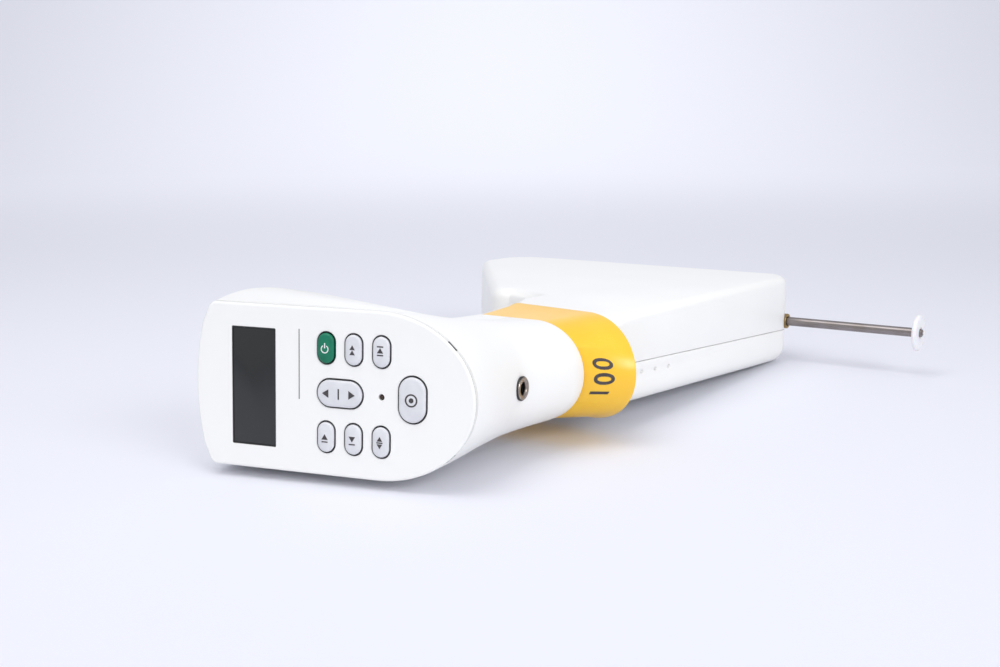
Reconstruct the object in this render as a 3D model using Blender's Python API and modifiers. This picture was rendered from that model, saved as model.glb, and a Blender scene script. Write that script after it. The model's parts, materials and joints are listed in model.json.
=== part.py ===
"""Electronic eight-channel pipette with adjustable tip spacing, lying on its side.

Lengths are in metres. In the pipette's own frame X runs down the pipette from the head
to the tips, Y points to its back and Z to its left side. The origin is the status lamp in
the middle of the control panel. One empty tilts the whole pipette so that it lies on the
flare of its head and the edge of its wide lower housing.
"""
import math

import bmesh
import bpy
from mathutils import Matrix, Vector

# Clearances and walls
GAP = 0.0003
BORE_GAP = 0.0003
KEY_GAP = 0.0005
WALL = 0.0022

# Control panel and head
PANEL_WIDTH = 0.0540
PANEL_REACH = 0.0314
PANEL_TAIL = 0.0665
PANEL_NOSE = 0.0330
PANEL_CROWN = 0.0043
PANEL_CORNER = 0.0030
PANEL_THICKNESS = 0.0022
PANEL_RIM = 0.0008
PANEL_TILT = math.radians(14)
HEAD_DEPTH = 0.0275
HEAD_FLARE = 0.0025

# Display and keys, placed from the status lamp
DISPLAY_LENGTH = 0.0159
DISPLAY_WIDTH = 0.0387
DISPLAY_CENTRE = -0.0452
LENS_THICKNESS = 0.0012
KEY_PITCH = 0.00955
KEY_ROW = 0.0143
KEY_LENGTH = 0.0097
KEY_WIDTH = 0.0056
VOLUME_KEY_CENTRE = -0.0143
VOLUME_KEY_LENGTH = 0.0155
VOLUME_KEY_WIDTH = 0.0086
ENTER_KEY_CENTRE = 0.0106
ENTER_KEY_LENGTH = 0.0144
ENTER_KEY_WIDTH = 0.0090
KEY_PROUD = 0.0011
KEY_FLANGE = 0.0008
KEY_TRAVEL = 0.0008
ROCKER_ANGLE = math.radians(4)
MAT_THICKNESS = 0.0010
BOARD_THICKNESS = 0.0016
LAMP_RADIUS = 0.0010

# Grip covers
GRIP_END = 0.0756
GRIP_WIDTH = 0.0360
GRIP_FRONT = 0.0294
GRIP_WAIST = 0.0252
WAIST_X = 0.0480
GRIP_BACK = 0.0240
GRIP_NOSE = 0.0200
GRIP_CORNER = 0.0080
GRIP_CROWN = 0.0020
COVER_SEAM_Y = 0.0016
JACK_X = 0.0414
JACK_RADIUS = 0.0041
JACK_BORE = 0.0018
JACK_DEPTH = 0.0075

# Volume collar with its flared front
COLLAR_TUCK = 0.0040
COLLAR_WALL = 0.0018
COLLAR_LENGTH = 0.0304
HOOD_DROP = 0.0117
HOOD_REACH = 0.0440
HOOD_LIP = 0.0030
HOOD_HALF = 0.0195
COLLAR_BACK = 0.0268

# Wide lower housing
NECK_UPPER = 0.0200
TIP_UPPER = 0.0228
NECK_LOWER = 0.0148
TIP_LOWER = 0.0172
NECK_SEAM = 0.0012
TIP_SEAM = -0.0020
MANIFOLD_WALL = 0.0020
MANIFOLD_LENGTH = 0.1620
MANIFOLD_NEAR = 0.0325
MANIFOLD_FAR = 0.1220
NEAR_CORNER_LENGTH = 0.0180
NEAR_CORNER_DEPTH = 0.0125
FAR_CORNER = 0.0180
BACK_CORNER = 0.0120
BACK_CORNER_X = 0.0300
BACK_SLOPE = 124
SHOULDER_X = 0.0350
SHOULDER_Y = 0.0540
NECK_BACK = 0.0235
NECK_LENGTH = 0.0230
UPPER_ROUNDING = 0.0045
LOWER_ROUNDING = 0.0070
SCREW_BOSS = 0.0035
SCREW_RADIUS = 0.0012
SCREW_HEAD = 0.0027
SCREW_DEPTH = 0.0109

# Channels, their spacing and the sliding rod
CHANNELS = 8
PITCH_WIDE = 0.0127
PITCH_CLOSE = 0.0045
FIRST_CHANNEL_Y = 0.0920
CARRIAGE_LENGTH = 0.0550
CARRIAGE_TOP = 0.0097
CARRIAGE_BOTTOM = -0.0070
RAIL_RADIUS = 0.0015
RAIL_Z = -0.0030
NOZZLE_RADIUS = 0.0020
NOZZLE_REACH = 0.0220
NOZZLE_BORE = 0.0007
NOZZLE_TAPER = 0.0004
CAM_TRAVEL = 0.0200
CAM_THICKNESS = 0.0016
CAM_PIN_RADIUS = 0.0010
CAM_PIN_STEP = 0.0040
ROD_RADIUS = 0.0020
ROD_X = 0.0090
ROD_Z = 0.0018
BUSHING_WALL = 0.0011
KNOB_RADIUS = 0.0080
KNOB_THICKNESS = 0.0030
KNOB_SCREW_HEAD = 0.0012

# Piston drive
MOTOR_RADIUS = 0.0106
MOTOR_LENGTH = 0.0200
SCREW_SHAFT_RADIUS = 0.0020
PISTON_PITCH = 0.0070
PISTON_RADIUS = 0.0015
PISTON_STROKE = 0.0160
BLOCK_LENGTH = 0.0280
BLOCK_HALF_HEIGHT = 0.0066

# Tip ejector, trigger and battery
EJECT_TRAVEL = 0.0080
EJECT_ROD_RADIUS = 0.0015
EJECT_ROD_Y = 0.0126
EJECT_ROD_Z = -0.0088
YOKE_THICKNESS = 0.0016
YOKE_LEG = 0.0035
STRIPPER_THICKNESS = 0.0036
TRIGGER_TRAVEL = 0.0025
TRIGGER_LENGTH = 0.0140
TRIGGER_WIDTH = 0.0120
TRIGGER_X = 0.0390
BATTERY_LENGTH = 0.0460
BATTERY_WIDTH = 0.0260
BATTERY_HEIGHT = 0.0250

# Places that follow from the sizes above
GRIP_HALF = GRIP_WIDTH / 2
PANEL_HALF = PANEL_WIDTH / 2
CASE_DEPTH = PANEL_THICKNESS + GAP
COLLAR_START = GRIP_END - COLLAR_TUCK
COLLAR_END = GRIP_END + COLLAR_LENGTH
MANIFOLD_END = COLLAR_END + MANIFOLD_LENGTH
INNER_UPPER = NECK_UPPER - MANIFOLD_WALL
INNER_LOWER = NECK_LOWER - MANIFOLD_WALL
NOZZLE_ROOT = MANIFOLD_END - 0.005
CARRIAGE_START = NOZZLE_ROOT - CARRIAGE_LENGTH
CARRIAGE_THICKNESS = PITCH_CLOSE - 0.0005
SPREAD_TRAVEL = (CHANNELS - 1) * (PITCH_WIDE - PITCH_CLOSE)
LAST_CHANNEL_Y = FIRST_CHANNEL_Y - (CHANNELS - 1) * PITCH_WIDE
RAIL_X = (CARRIAGE_START + 0.0075, NOZZLE_ROOT - 0.016)
ROD_LINE_X = MANIFOLD_END - ROD_X
CAM_LOW = CARRIAGE_TOP + GAP
CAM_PIN_X = MANIFOLD_END - 0.028
ROD_SHARE = 1 - ROD_X / NEAR_CORNER_LENGTH
ROD_EXIT_Y = NEAR_CORNER_DEPTH * (1 - math.sqrt(1 - ROD_SHARE ** 2)) - MANIFOLD_NEAR
EXIT_SLOPE = NEAR_CORNER_DEPTH / NEAR_CORNER_LENGTH * ROD_SHARE / math.sqrt(1 - ROD_SHARE ** 2)
BUSHING_RADIUS = ROD_RADIUS + BORE_GAP + BUSHING_WALL
KNOB_FACE_Y = -MANIFOLD_NEAR - GAP - SPREAD_TRAVEL
STRIPPER_START = MANIFOLD_END + 0.0009
EJECT_STEM = (GRIP_END - 0.0210, GRIP_END - 0.0130)
EJECT_STEM_HALF = 0.0022
EJECT_ROD_START = EJECT_STEM[1] + GAP
YOKE_NEAR = LAST_CHANNEL_Y - CARRIAGE_THICKNESS / 2 - 0.0040
YOKE_FAR = FIRST_CHANNEL_Y + CARRIAGE_THICKNESS / 2 + 0.0040
YOKE_START = CARRIAGE_START + 0.0060
YOKE_END = STRIPPER_START - GAP
YOKE_LOW = EJECT_ROD_Z - YOKE_THICKNESS / 2
RAIL_SUPPORT = 0.0030
RAIL_SUPPORT_Y = (YOKE_NEAR - GAP - RAIL_SUPPORT, YOKE_FAR + GAP)
TRIGGER_FLANGE_Y = GRIP_BACK - WALL - 0.0053
BATTERY_BACK = TRIGGER_FLANGE_Y - TRIGGER_TRAVEL - GAP - 0.0042
BATTERY_FRONT = BATTERY_BACK - BATTERY_HEIGHT
CHASSIS_START = COLLAR_START - 0.0010
BATTERY_START = CHASSIS_START - GAP - BATTERY_LENGTH
PISTON_SPAN = (CHANNELS - 1) * PISTON_PITCH / 2
BLOCK_WIDTH_HALF = PISTON_SPAN + 0.004
MOTOR_START = COLLAR_START + 0.006
MOTOR_END = MOTOR_START + MOTOR_LENGTH
PLATE_THICKNESS = 0.004
BLOCK_START = CARRIAGE_START - 0.014 - BLOCK_LENGTH
PLATE_START = BLOCK_START - 0.003 - PISTON_STROKE - PLATE_THICKNESS
KEY_FLOOR = CASE_DEPTH + GAP + KEY_FLANGE
MAT_TOP = KEY_FLOOR + KEY_TRAVEL + 0.0001
BOARD_TOP = MAT_TOP + MAT_THICKNESS + GAP
ROUND = 12
NOSE_STEPS = 14

# Turns an outline drawn in two axes, with its thickness in the third
ALONG_X = Matrix(((0, 0, 1, 0), (1, 0, 0, 0), (0, 1, 0, 0), (0, 0, 0, 1)))
ALONG_Y = Matrix(((0, 1, 0, 0), (0, 0, 1, 0), (1, 0, 0, 0), (0, 0, 0, 1)))
ALONG_Z = Matrix.Identity(4)


def clear_scene():
    for obj in list(bpy.data.objects):
        bpy.data.objects.remove(obj, do_unlink=True)


def new_collection(name):
    collection = bpy.data.collections.new(name)
    bpy.context.scene.collection.children.link(collection)
    return collection


def new_empty(name, matrix, parent=None):
    empty = bpy.data.objects.new(name, None)
    empty.empty_display_size = 0.02
    PARTS.objects.link(empty)
    empty.parent = parent
    empty.matrix_local = matrix
    return empty


def linear(hex_colour):
    channels = [int(hex_colour[i:i + 2], 16) / 255 for i in (1, 3, 5)]
    return [c / 12.92 if c <= 0.04045 else ((c + 0.055) / 1.055) ** 2.4 for c in channels] + [1.0]


def finish(name, colour, roughness=0.4, metallic=0.0):
    """The surface of one part: its colour, roughness and whether it is metal."""
    material = bpy.data.materials.new(name + "_finish")
    material.use_nodes = True
    shader = material.node_tree.nodes["Principled BSDF"]
    shader.inputs["Base Color"].default_value = linear(colour)
    shader.inputs["Roughness"].default_value = roughness
    shader.inputs["Metallic"].default_value = metallic
    material.diffuse_color = linear(colour)
    return material


WHITE = ("#F2F2EF", 0.35, 0.0)
YELLOW = ("#F6D24A", 0.30, 0.0)
GREY = ("#C9CBD0", 0.45, 0.0)
GREEN = ("#0C7A5C", 0.40, 0.0)
DARK = ("#2B2D2E", 0.35, 0.0)
STEEL = ("#A9A6A4", 0.28, 1.0)
BRASS = ("#C9B07A", 0.35, 1.0)
BOARD = ("#1E5B38", 0.50, 0.0)
TRANSLUCENT = ("#DADDD8", 0.30, 0.0)


def add_object(name, bm, parent, origin=(0, 0, 0)):
    """Puts a mesh in the scene, with its object's origin at a given point."""
    bmesh.ops.translate(bm, verts=bm.verts, vec=-Vector(origin))
    bmesh.ops.recalc_face_normals(bm, faces=bm.faces)
    mesh = bpy.data.meshes.new(name)
    bm.to_mesh(mesh)
    bm.free()
    mesh.shade_smooth()
    mesh.set_sharp_from_angle(angle=math.radians(35))
    obj = bpy.data.objects.new(name, mesh)
    obj.parent = parent
    obj.location = origin
    return obj


def add_part(name, bm, look, parent=None, origin=(0, 0, 0)):
    obj = add_object(name, bm, parent or PIPETTE, origin)
    PARTS.objects.link(obj)
    obj.data.materials.append(finish(name, *look))
    return obj


def add_tool(name, bm, parent=None):
    """A shape that only cuts or joins others, and isn't a part."""
    obj = add_object(name, bm, parent or PIPETTE)
    CUTTERS.objects.link(obj)
    obj.hide_render = True
    obj.display_type = "WIRE"
    return obj


def combine(obj, tool, operation="DIFFERENCE"):
    modifier = obj.modifiers.new(tool.name, "BOOLEAN")
    modifier.operation = operation
    modifier.solver = "EXACT"
    modifier.object = tool


def arc(cx, cy, rx, ry, start, end, steps):
    """Points along an elliptical arc, with its angles in degrees."""
    angles = [math.radians(start + (end - start) * i / steps) for i in range(steps + 1)]
    return [(cx + rx * math.cos(a), cy + ry * math.sin(a)) for a in angles]


def stadium(length, width, steps=8):
    """An outline with round ends, its length along the second axis."""
    radius = width / 2
    straight = (length - width) / 2
    return arc(0, straight, radius, radius, 0, 180, steps) + arc(0, -straight, radius, radius, 180, 360, steps)


def rectangle(low_a, low_b, high_a, high_b, radius=0.0, steps=3):
    if radius == 0:
        return [(low_a, low_b), (high_a, low_b), (high_a, high_b), (low_a, high_b)]
    left, right = low_a + radius, high_a - radius
    bottom, top = low_b + radius, high_b - radius
    return (arc(left, bottom, radius, radius, 180, 270, steps) + arc(right, bottom, radius, radius, 270, 360, steps)
            + arc(right, top, radius, radius, 0, 90, steps) + arc(left, top, radius, radius, 90, 180, steps))


def shrink(outline, distance):
    """An outline moved inwards all round. It runs counter-clockwise."""
    result = []
    count = len(outline)
    for i, point in enumerate(outline):
        here = Vector(point)
        before = (here - Vector(outline[i - 1])).normalized()
        after = (Vector(outline[(i + 1) % count]) - here).normalized()
        normal = Vector((-(before.y + after.y), before.x + after.x)).normalized()
        stretch = max(normal.dot(Vector((-before.y, before.x))), 0.4)
        moved = here + normal * distance / stretch
        result.append((moved.x, moved.y))
    return result


def prism(outlines, low, high, turn=ALONG_Z, rim=0.0, steps=3, rims=("high",)):
    """Solid on one or more flat outlines, with its end rims rounded where asked."""
    bm = bmesh.new()
    if isinstance(outlines[0], tuple):
        outlines = [outlines]
    for outline in outlines:
        bm.faces.new([bm.verts.new((a, b, low)) for a, b in outline])
    extruded = bmesh.ops.extrude_face_region(bm, geom=bm.faces[:])
    top = [v for v in extruded["geom"] if isinstance(v, bmesh.types.BMVert)]
    bmesh.ops.translate(bm, verts=top, vec=(0, 0, high - low))
    if rim:
        levels = {"high": high, "low": low}
        edges = [e for e in bm.edges for level in rims
                 if all(abs(v.co.z - levels[level]) < 1e-7 for v in e.verts)]
        bmesh.ops.bevel(bm, geom=edges, offset=rim, segments=steps, profile=0.5, affect="EDGES",
                        material=-1)
    bmesh.ops.transform(bm, matrix=turn, verts=bm.verts)
    return bm


def box(low, high):
    bm = bmesh.new()
    size = [h - l for l, h in zip(low, high)]
    middle = [(h + l) / 2 for l, h in zip(low, high)]
    bmesh.ops.create_cube(bm, size=1.0, matrix=Matrix.Translation(middle) @ Matrix.Diagonal((*size, 1)))
    return bm


def add_to(bm, other):
    """Adds the faces of another mesh as a separate body."""
    mesh = bpy.data.meshes.new("joined")
    other.to_mesh(mesh)
    other.free()
    bm.from_mesh(mesh)
    bpy.data.meshes.remove(mesh)
    return bm


def bar(axis, start, end, a, b, radius, segments=ROUND, end_radius=None):
    """A round bar along one axis, at (a, b) on the two axes that follow it."""
    bm = bmesh.new()
    middle = (start + end) / 2
    turn = {"X": ALONG_X, "Y": ALONG_Y, "Z": ALONG_Z}[axis]
    bmesh.ops.create_cone(bm, cap_ends=True, segments=segments, radius1=radius,
                          radius2=radius if end_radius is None else end_radius, depth=end - start,
                          matrix=turn @ Matrix.Translation((a, b, middle)))
    return bm


def turned(name, profile, look, parent, matrix, steps=ROUND, closed=False):
    """A turned part: a profile of (radius, height) spun about its own Z axis."""
    bm = bmesh.new()
    points = [bm.verts.new((radius, 0, height)) for radius, height in profile]
    pairs = list(zip(points, points[1:]))
    if closed:
        pairs.append((points[-1], points[0]))
    for pair in pairs:
        bm.edges.new(pair)
    mesh = bpy.data.meshes.new(name)
    bm.to_mesh(mesh)
    bm.free()
    obj = bpy.data.objects.new(name, mesh)
    PARTS.objects.link(obj)
    obj.parent = parent
    obj.matrix_local = matrix
    obj.data.materials.append(finish(name, *look))
    screw = obj.modifiers.new("turn", "SCREW")
    screw.steps = steps
    screw.render_steps = steps
    screw.use_merge_vertices = True
    screw.merge_threshold = 0.00001
    screw.use_smooth_shade = True
    return obj


def close_ring(bm, row):
    """Closes a shield-shaped ring with strips from side to side, so that it may be bent."""
    count = len(row)
    middle = NOSE_STEPS // 2
    for i in range(middle, middle + count // 2):
        corners = [row[i % count], row[(i + 1) % count], row[(2 * middle - i - 1) % count],
                   row[(2 * middle - i) % count]]
        bm.faces.new(list(dict.fromkeys(corners)))


def loft(rings):
    """A closed solid through rings that have equal numbers of points."""
    bm = bmesh.new()
    rows = [[bm.verts.new(point) for point in ring] for ring in rings]
    count = len(rows[0])
    for low, high in zip(rows, rows[1:]):
        for i in range(count):
            bm.faces.new((low[i], low[(i + 1) % count], high[(i + 1) % count], high[i]))
    close_ring(bm, rows[0])
    close_ring(bm, rows[-1])
    return bm


def smooth_step(low, high, share):
    share = min(max(share, 0.0), 1.0)
    return low + (high - low) * share * share * (3 - 2 * share)


def panel_point(reach, depth):
    """A point on the middle plane, given along the panel and below its face."""
    along = Vector((math.sin(PANEL_TILT), -math.cos(PANEL_TILT)))
    inwards = Vector((math.cos(PANEL_TILT), math.sin(PANEL_TILT)))
    return along * reach + inwards * depth


def shield(reach, tail, half_front, half_back, nose, corner, crown):
    """The rounded shield outline of the head and grip, as (along, across) points.

    Its front is half an ellipse, its sides are straight and its back is slightly domed.
    """
    points = arc(reach - nose, 0, nose, half_front, -90, 90, NOSE_STEPS)
    edge = -tail + crown
    points += arc(edge + corner, half_back - corner, corner, corner, 90, 170, 3)
    across = half_back - corner
    points += [(-tail + crown * (z / half_back) ** 2, z) for z in (across / 2, 0, -across / 2)]
    points += arc(edge + corner, corner - half_back, corner, corner, 190, 270, 3)
    return points


def panel_outline(inset=0.0):
    return shield(PANEL_REACH - inset, PANEL_TAIL - inset, PANEL_HALF - inset, PANEL_HALF - inset,
                  PANEL_NOSE - inset, PANEL_CORNER, PANEL_CROWN)


def front_line(x, start):
    """How far the front of the grip stands out at a place along it."""
    if x < WAIST_X:
        return -smooth_step(-start.y, GRIP_WAIST, (x - start.x) / (WAIST_X - start.x))
    return -smooth_step(GRIP_WAIST, GRIP_FRONT, (x - WAIST_X) / (COLLAR_START - 0.001 - WAIST_X))


def offset_line(points, distance):
    """A line moved to its right by a distance, seen along its own direction."""
    moved = []
    for i, point in enumerate(points):
        ahead = points[min(i + 1, len(points) - 1)]
        behind = points[max(i - 1, 0)]
        way = (ahead - behind).normalized()
        moved.append(point + Vector((way.y, -way.x)) * distance)
    return moved


# Stations down the grip: share of its length at the front, share of the head's extra width
STATIONS = ((0.0, 0.80), (0.07, 0.90), (0.13, 0.98), (0.19, 1.0), (0.235, 0.94), (0.28, 0.84),
            (0.34, 0.66), (0.42, 0.45), (0.56, 0.17), (0.76, 0.03), (0.92, 0.0), (1.0, 0.0))


def back_line():
    """The back of the head, its overhang and the back of the grip, from the panel down."""
    head = [panel_point(-PANEL_TAIL, CASE_DEPTH),
            panel_point(-PANEL_TAIL - 0.0010, HEAD_DEPTH * 0.47),
            panel_point(-PANEL_TAIL + 0.0005, HEAD_DEPTH * 0.80),
            panel_point(-PANEL_TAIL + 0.0065, HEAD_DEPTH * 0.98),
            panel_point(-PANEL_TAIL + 0.0165, HEAD_DEPTH + 0.0005),
            panel_point(-PANEL_TAIL + 0.0265, HEAD_DEPTH + 0.0020)]
    foot = head[-1].x
    length = GRIP_END - foot
    grip = [Vector((foot + length * share, GRIP_BACK + rise))
            for share, rise in ((0.065, 0.0100), (0.19, 0.0026), (0.42, 0.0004), (0.68, 0.0), (0.91, 0.0),
                                (1.0, 0.0))]
    return head + grip


def grip_rings(inset, reach_past=0.0):
    """Rings of the head and grip, moved inwards by the wall for the inner surface."""
    start = panel_point(PANEL_REACH, CASE_DEPTH)
    fronts = []
    for share, _ in STATIONS:
        x = start.x + (GRIP_END - start.x) * share
        fronts.append(Vector((x, front_line(x, start))))
    backs = back_line()
    if inset:
        fronts = offset_line(fronts, -inset)
        backs = offset_line(backs, inset)
    fronts[0] -= Vector((math.cos(PANEL_TILT), math.sin(PANEL_TILT))) * reach_past
    backs[0] -= Vector((math.cos(PANEL_TILT), math.sin(PANEL_TILT))) * reach_past
    fronts[-1].x = backs[-1].x = GRIP_END + reach_past
    rings = []
    for (share, extra), front, back in zip(STATIONS, fronts, backs):
        along = front - back
        length = along.length
        along.normalize()
        half_front = GRIP_HALF + (PANEL_HALF - GRIP_HALF) * (1 - share) ** 1.6 - inset
        half_back = GRIP_HALF + (PANEL_HALF + HEAD_FLARE - GRIP_HALF) * extra - inset
        settle = min(share / 0.5, 1.0)
        nose = PANEL_NOSE + (GRIP_NOSE - PANEL_NOSE) * settle - inset
        corner = PANEL_CORNER + (GRIP_CORNER - PANEL_CORNER) * settle - min(inset, PANEL_CORNER * 0.6)
        crown = PANEL_CROWN + (GRIP_CROWN - PANEL_CROWN) * settle
        outline = shield(length, 0.0, half_front, half_back, nose, corner, crown)
        rings.append([(back.x + along.x * a, back.y + along.y * a, z) for a, z in outline])
    return rings


def hood_ring(front_x, back_x, front, back, half, nose, corner, crown=GRIP_CROWN):
    """A ring of the collar, whose rim sweeps further down the pipette at the back."""
    outline = shield(front, back, half, half, nose, corner, crown)
    depth = front + back
    ring = []
    for a, z in outline:
        share = min(max((a + back) / depth, 0.0), 1.0)
        ring.append((back_x - (back_x - front_x) * share ** 2.2, -a, z))
    return ring


def collar_rings(inset, spare=0.0):
    """Rings of the volume collar from inside the grip to its flared rim."""
    tuck = WALL + GAP + inset
    step = 0.0005 + inset
    rim_half = HOOD_HALF - inset
    rim_nose = GRIP_NOSE + 0.0060
    front_x = GRIP_END + HOOD_DROP
    rings = []
    for x in (COLLAR_START - spare, GRIP_END + GAP):
        rings.append(hood_ring(x, x, GRIP_FRONT - tuck, GRIP_BACK - tuck, GRIP_HALF - tuck,
                               GRIP_NOSE - tuck, GRIP_CORNER - tuck / 2))
    ledge = GRIP_END + GAP + 0.0001 + inset
    rings.append(hood_ring(ledge, ledge, GRIP_FRONT - step, GRIP_BACK - step, GRIP_HALF - step,
                           GRIP_NOSE - step, GRIP_CORNER - step))
    rings.append(hood_ring(front_x - HOOD_LIP, COLLAR_END - HOOD_LIP, HOOD_REACH - 0.0028 - inset,
                           COLLAR_BACK - 0.0006 - inset, rim_half - 0.0006, rim_nose - inset,
                           GRIP_CORNER - inset))
    rings.append(hood_ring(front_x + spare, COLLAR_END + spare, HOOD_REACH - inset, COLLAR_BACK - inset,
                           rim_half, rim_nose - inset, GRIP_CORNER - inset))
    return rings


def place_on_panel(reach, across, depth=0.0):
    """A frame on the panel: first axis towards its rounded end, third axis outwards."""
    point = panel_point(reach, depth)
    along = panel_point(1, 0)
    inwards = panel_point(0, 1)
    axes = Matrix(((along.x, 0, -inwards.x), (along.y, 0, -inwards.y), (0, 1, 0)))
    return Matrix.Translation((point.x, point.y, across)) @ axes.to_4x4()


def small_keys():
    """Names, colours and places of the six small keys."""
    names = ("power", "speed", "purge", "fill", "dispense", "mix")
    for i, name in enumerate(names):
        side = 1 if i < 3 else -1
        yield name, GREEN if name == "power" else GREY, (i % 3 - 2) * KEY_PITCH, side * KEY_ROW


def make_panel():
    plate = add_part("head_panel", prism(panel_outline(), -PANEL_THICKNESS, 0, rim=PANEL_RIM, steps=2), WHITE, PANEL)
    holes = [[(a + reach, b + across) for a, b in stadium(KEY_LENGTH + 2 * KEY_GAP, KEY_WIDTH + 2 * KEY_GAP)]
             for _, _, reach, across in small_keys()]
    holes.append([(b + VOLUME_KEY_CENTRE, a) for a, b in
                  reversed(stadium(VOLUME_KEY_LENGTH + 2 * KEY_GAP, VOLUME_KEY_WIDTH + 2 * KEY_GAP))])
    holes.append([(a + ENTER_KEY_CENTRE, b) for a, b in
                  stadium(ENTER_KEY_LENGTH + 2 * KEY_GAP, ENTER_KEY_WIDTH + 2 * KEY_GAP)])
    holes.append(arc(0, 0, LAMP_RADIUS, LAMP_RADIUS, 0, 324, 9))
    holes.append(rectangle(DISPLAY_CENTRE - DISPLAY_LENGTH / 2, -DISPLAY_WIDTH / 2,
                           DISPLAY_CENTRE + DISPLAY_LENGTH / 2, DISPLAY_WIDTH / 2))
    combine(plate, add_tool("panel_openings", prism(holes, -0.01, 0.01), PANEL))


def key_mesh(outline, flange, floor):
    """A key with a rounded top that stands proud of the panel, and a flange below it."""
    bm = prism(outline, floor, KEY_PROUD, rim=0.0007, steps=2)
    return bm, prism(flange, -KEY_FLOOR, -CASE_DEPTH - GAP)


def make_key(name, look, reach, across, outline, flange):
    seat = new_empty(name + "_seat", place_on_panel(reach, across), PIPETTE)
    body, ledge = key_mesh(outline, flange, -KEY_FLOOR + 0.0002)
    key = add_part(name, body, look, seat)
    combine(key, add_tool(name + "_flange", ledge, seat), "UNION")


def make_keys():
    for name, look, reach, across in small_keys():
        make_key("key_" + name, look, reach, across, stadium(KEY_LENGTH, KEY_WIDTH),
                 stadium(KEY_LENGTH + 0.0022, KEY_WIDTH + 0.0022))
    make_key("key_enter", GREY, ENTER_KEY_CENTRE, 0, stadium(ENTER_KEY_LENGTH, ENTER_KEY_WIDTH),
             stadium(ENTER_KEY_LENGTH + 0.0022, ENTER_KEY_WIDTH + 0.0022))
    trunnion_radius = 0.0008
    axis_depth = CASE_DEPTH + GAP + trunnion_radius
    seat = new_empty("key_volume_seat", place_on_panel(VOLUME_KEY_CENTRE, 0, axis_depth), PIPETTE)
    outline = [(b, a) for a, b in reversed(stadium(VOLUME_KEY_LENGTH, VOLUME_KEY_WIDTH))]
    drop = math.sin(ROCKER_ANGLE) * VOLUME_KEY_LENGTH / 2
    floor = axis_depth - (MAT_TOP - drop - 0.0001)
    rocker = add_part("key_volume", prism(outline, floor, KEY_PROUD + axis_depth, rim=0.0008, steps=2), GREY, seat)
    reach = VOLUME_KEY_WIDTH / 2 + KEY_GAP + 0.0010
    trunnion = bar("Y", -reach, reach, 0, 0, trunnion_radius, 8)
    combine(rocker, add_tool("key_volume_trunnion", trunnion, seat), "UNION")


def make_display():
    half_length = DISPLAY_LENGTH / 2 + 0.0018
    half_width = DISPLAY_WIDTH / 2 + 0.0018
    lens = rectangle(DISPLAY_CENTRE - half_length, -half_width, DISPLAY_CENTRE + half_length, half_width)
    low = -CASE_DEPTH - LENS_THICKNESS
    add_part("display_window", prism(lens, low, -CASE_DEPTH), DARK, PANEL)
    module = rectangle(DISPLAY_CENTRE - half_length - 0.001, -half_width - 0.001,
                       DISPLAY_CENTRE + half_length, half_width + 0.001, 0.0008)
    add_part("display_module", prism(module, -BOARD_TOP + GAP, low - GAP), GREY, PANEL)


def make_keypad():
    edge = DISPLAY_CENTRE + DISPLAY_LENGTH / 2 + 0.006
    half = PANEL_HALF - WALL - 0.0035
    mat = arc(PANEL_REACH - PANEL_NOSE, 0, PANEL_NOSE - WALL - 0.004, half, -90, 90, 12)
    mat += [(edge, half), (edge, -half)]
    pad = add_part("keypad_mat", prism(mat, -MAT_TOP - MAT_THICKNESS, -MAT_TOP), GREY, PANEL)
    hole = arc(0, 0, LAMP_RADIUS + GAP, LAMP_RADIUS + GAP, 0, 324, 9)
    combine(pad, add_tool("mat_lamp_hole", prism(hole, -0.01, 0), PANEL))
    board = panel_outline(WALL + 0.0025)
    add_part("main_board", prism(board, -BOARD_TOP - BOARD_THICKNESS, -BOARD_TOP), BOARD, PANEL)
    top = -0.0004
    profile = [(0, top), (0.0005, top - 0.0001), (LAMP_RADIUS - 0.0002, top - 0.0006),
               (LAMP_RADIUS - 0.0002, -BOARD_TOP + GAP), (0, -BOARD_TOP + GAP)]
    turned("status_lamp", profile, GREEN, PANEL, Matrix.Identity(4), 8)


def jack_frame():
    """The jack's frame on the front of the grip, its third axis pointing outwards."""
    start = panel_point(PANEL_REACH, CASE_DEPTH)
    step = 0.001
    rise = (front_line(JACK_X + step, start) - front_line(JACK_X - step, start)) / (2 * step)
    outwards = Vector((rise, -1, 0)).normalized()
    across = Vector((0, 0, 1))
    along = across.cross(outwards)
    axes = Matrix((along, across, outwards)).transposed().to_4x4()
    return Matrix.Translation((JACK_X, front_line(JACK_X, start), 0)) @ axes


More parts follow.
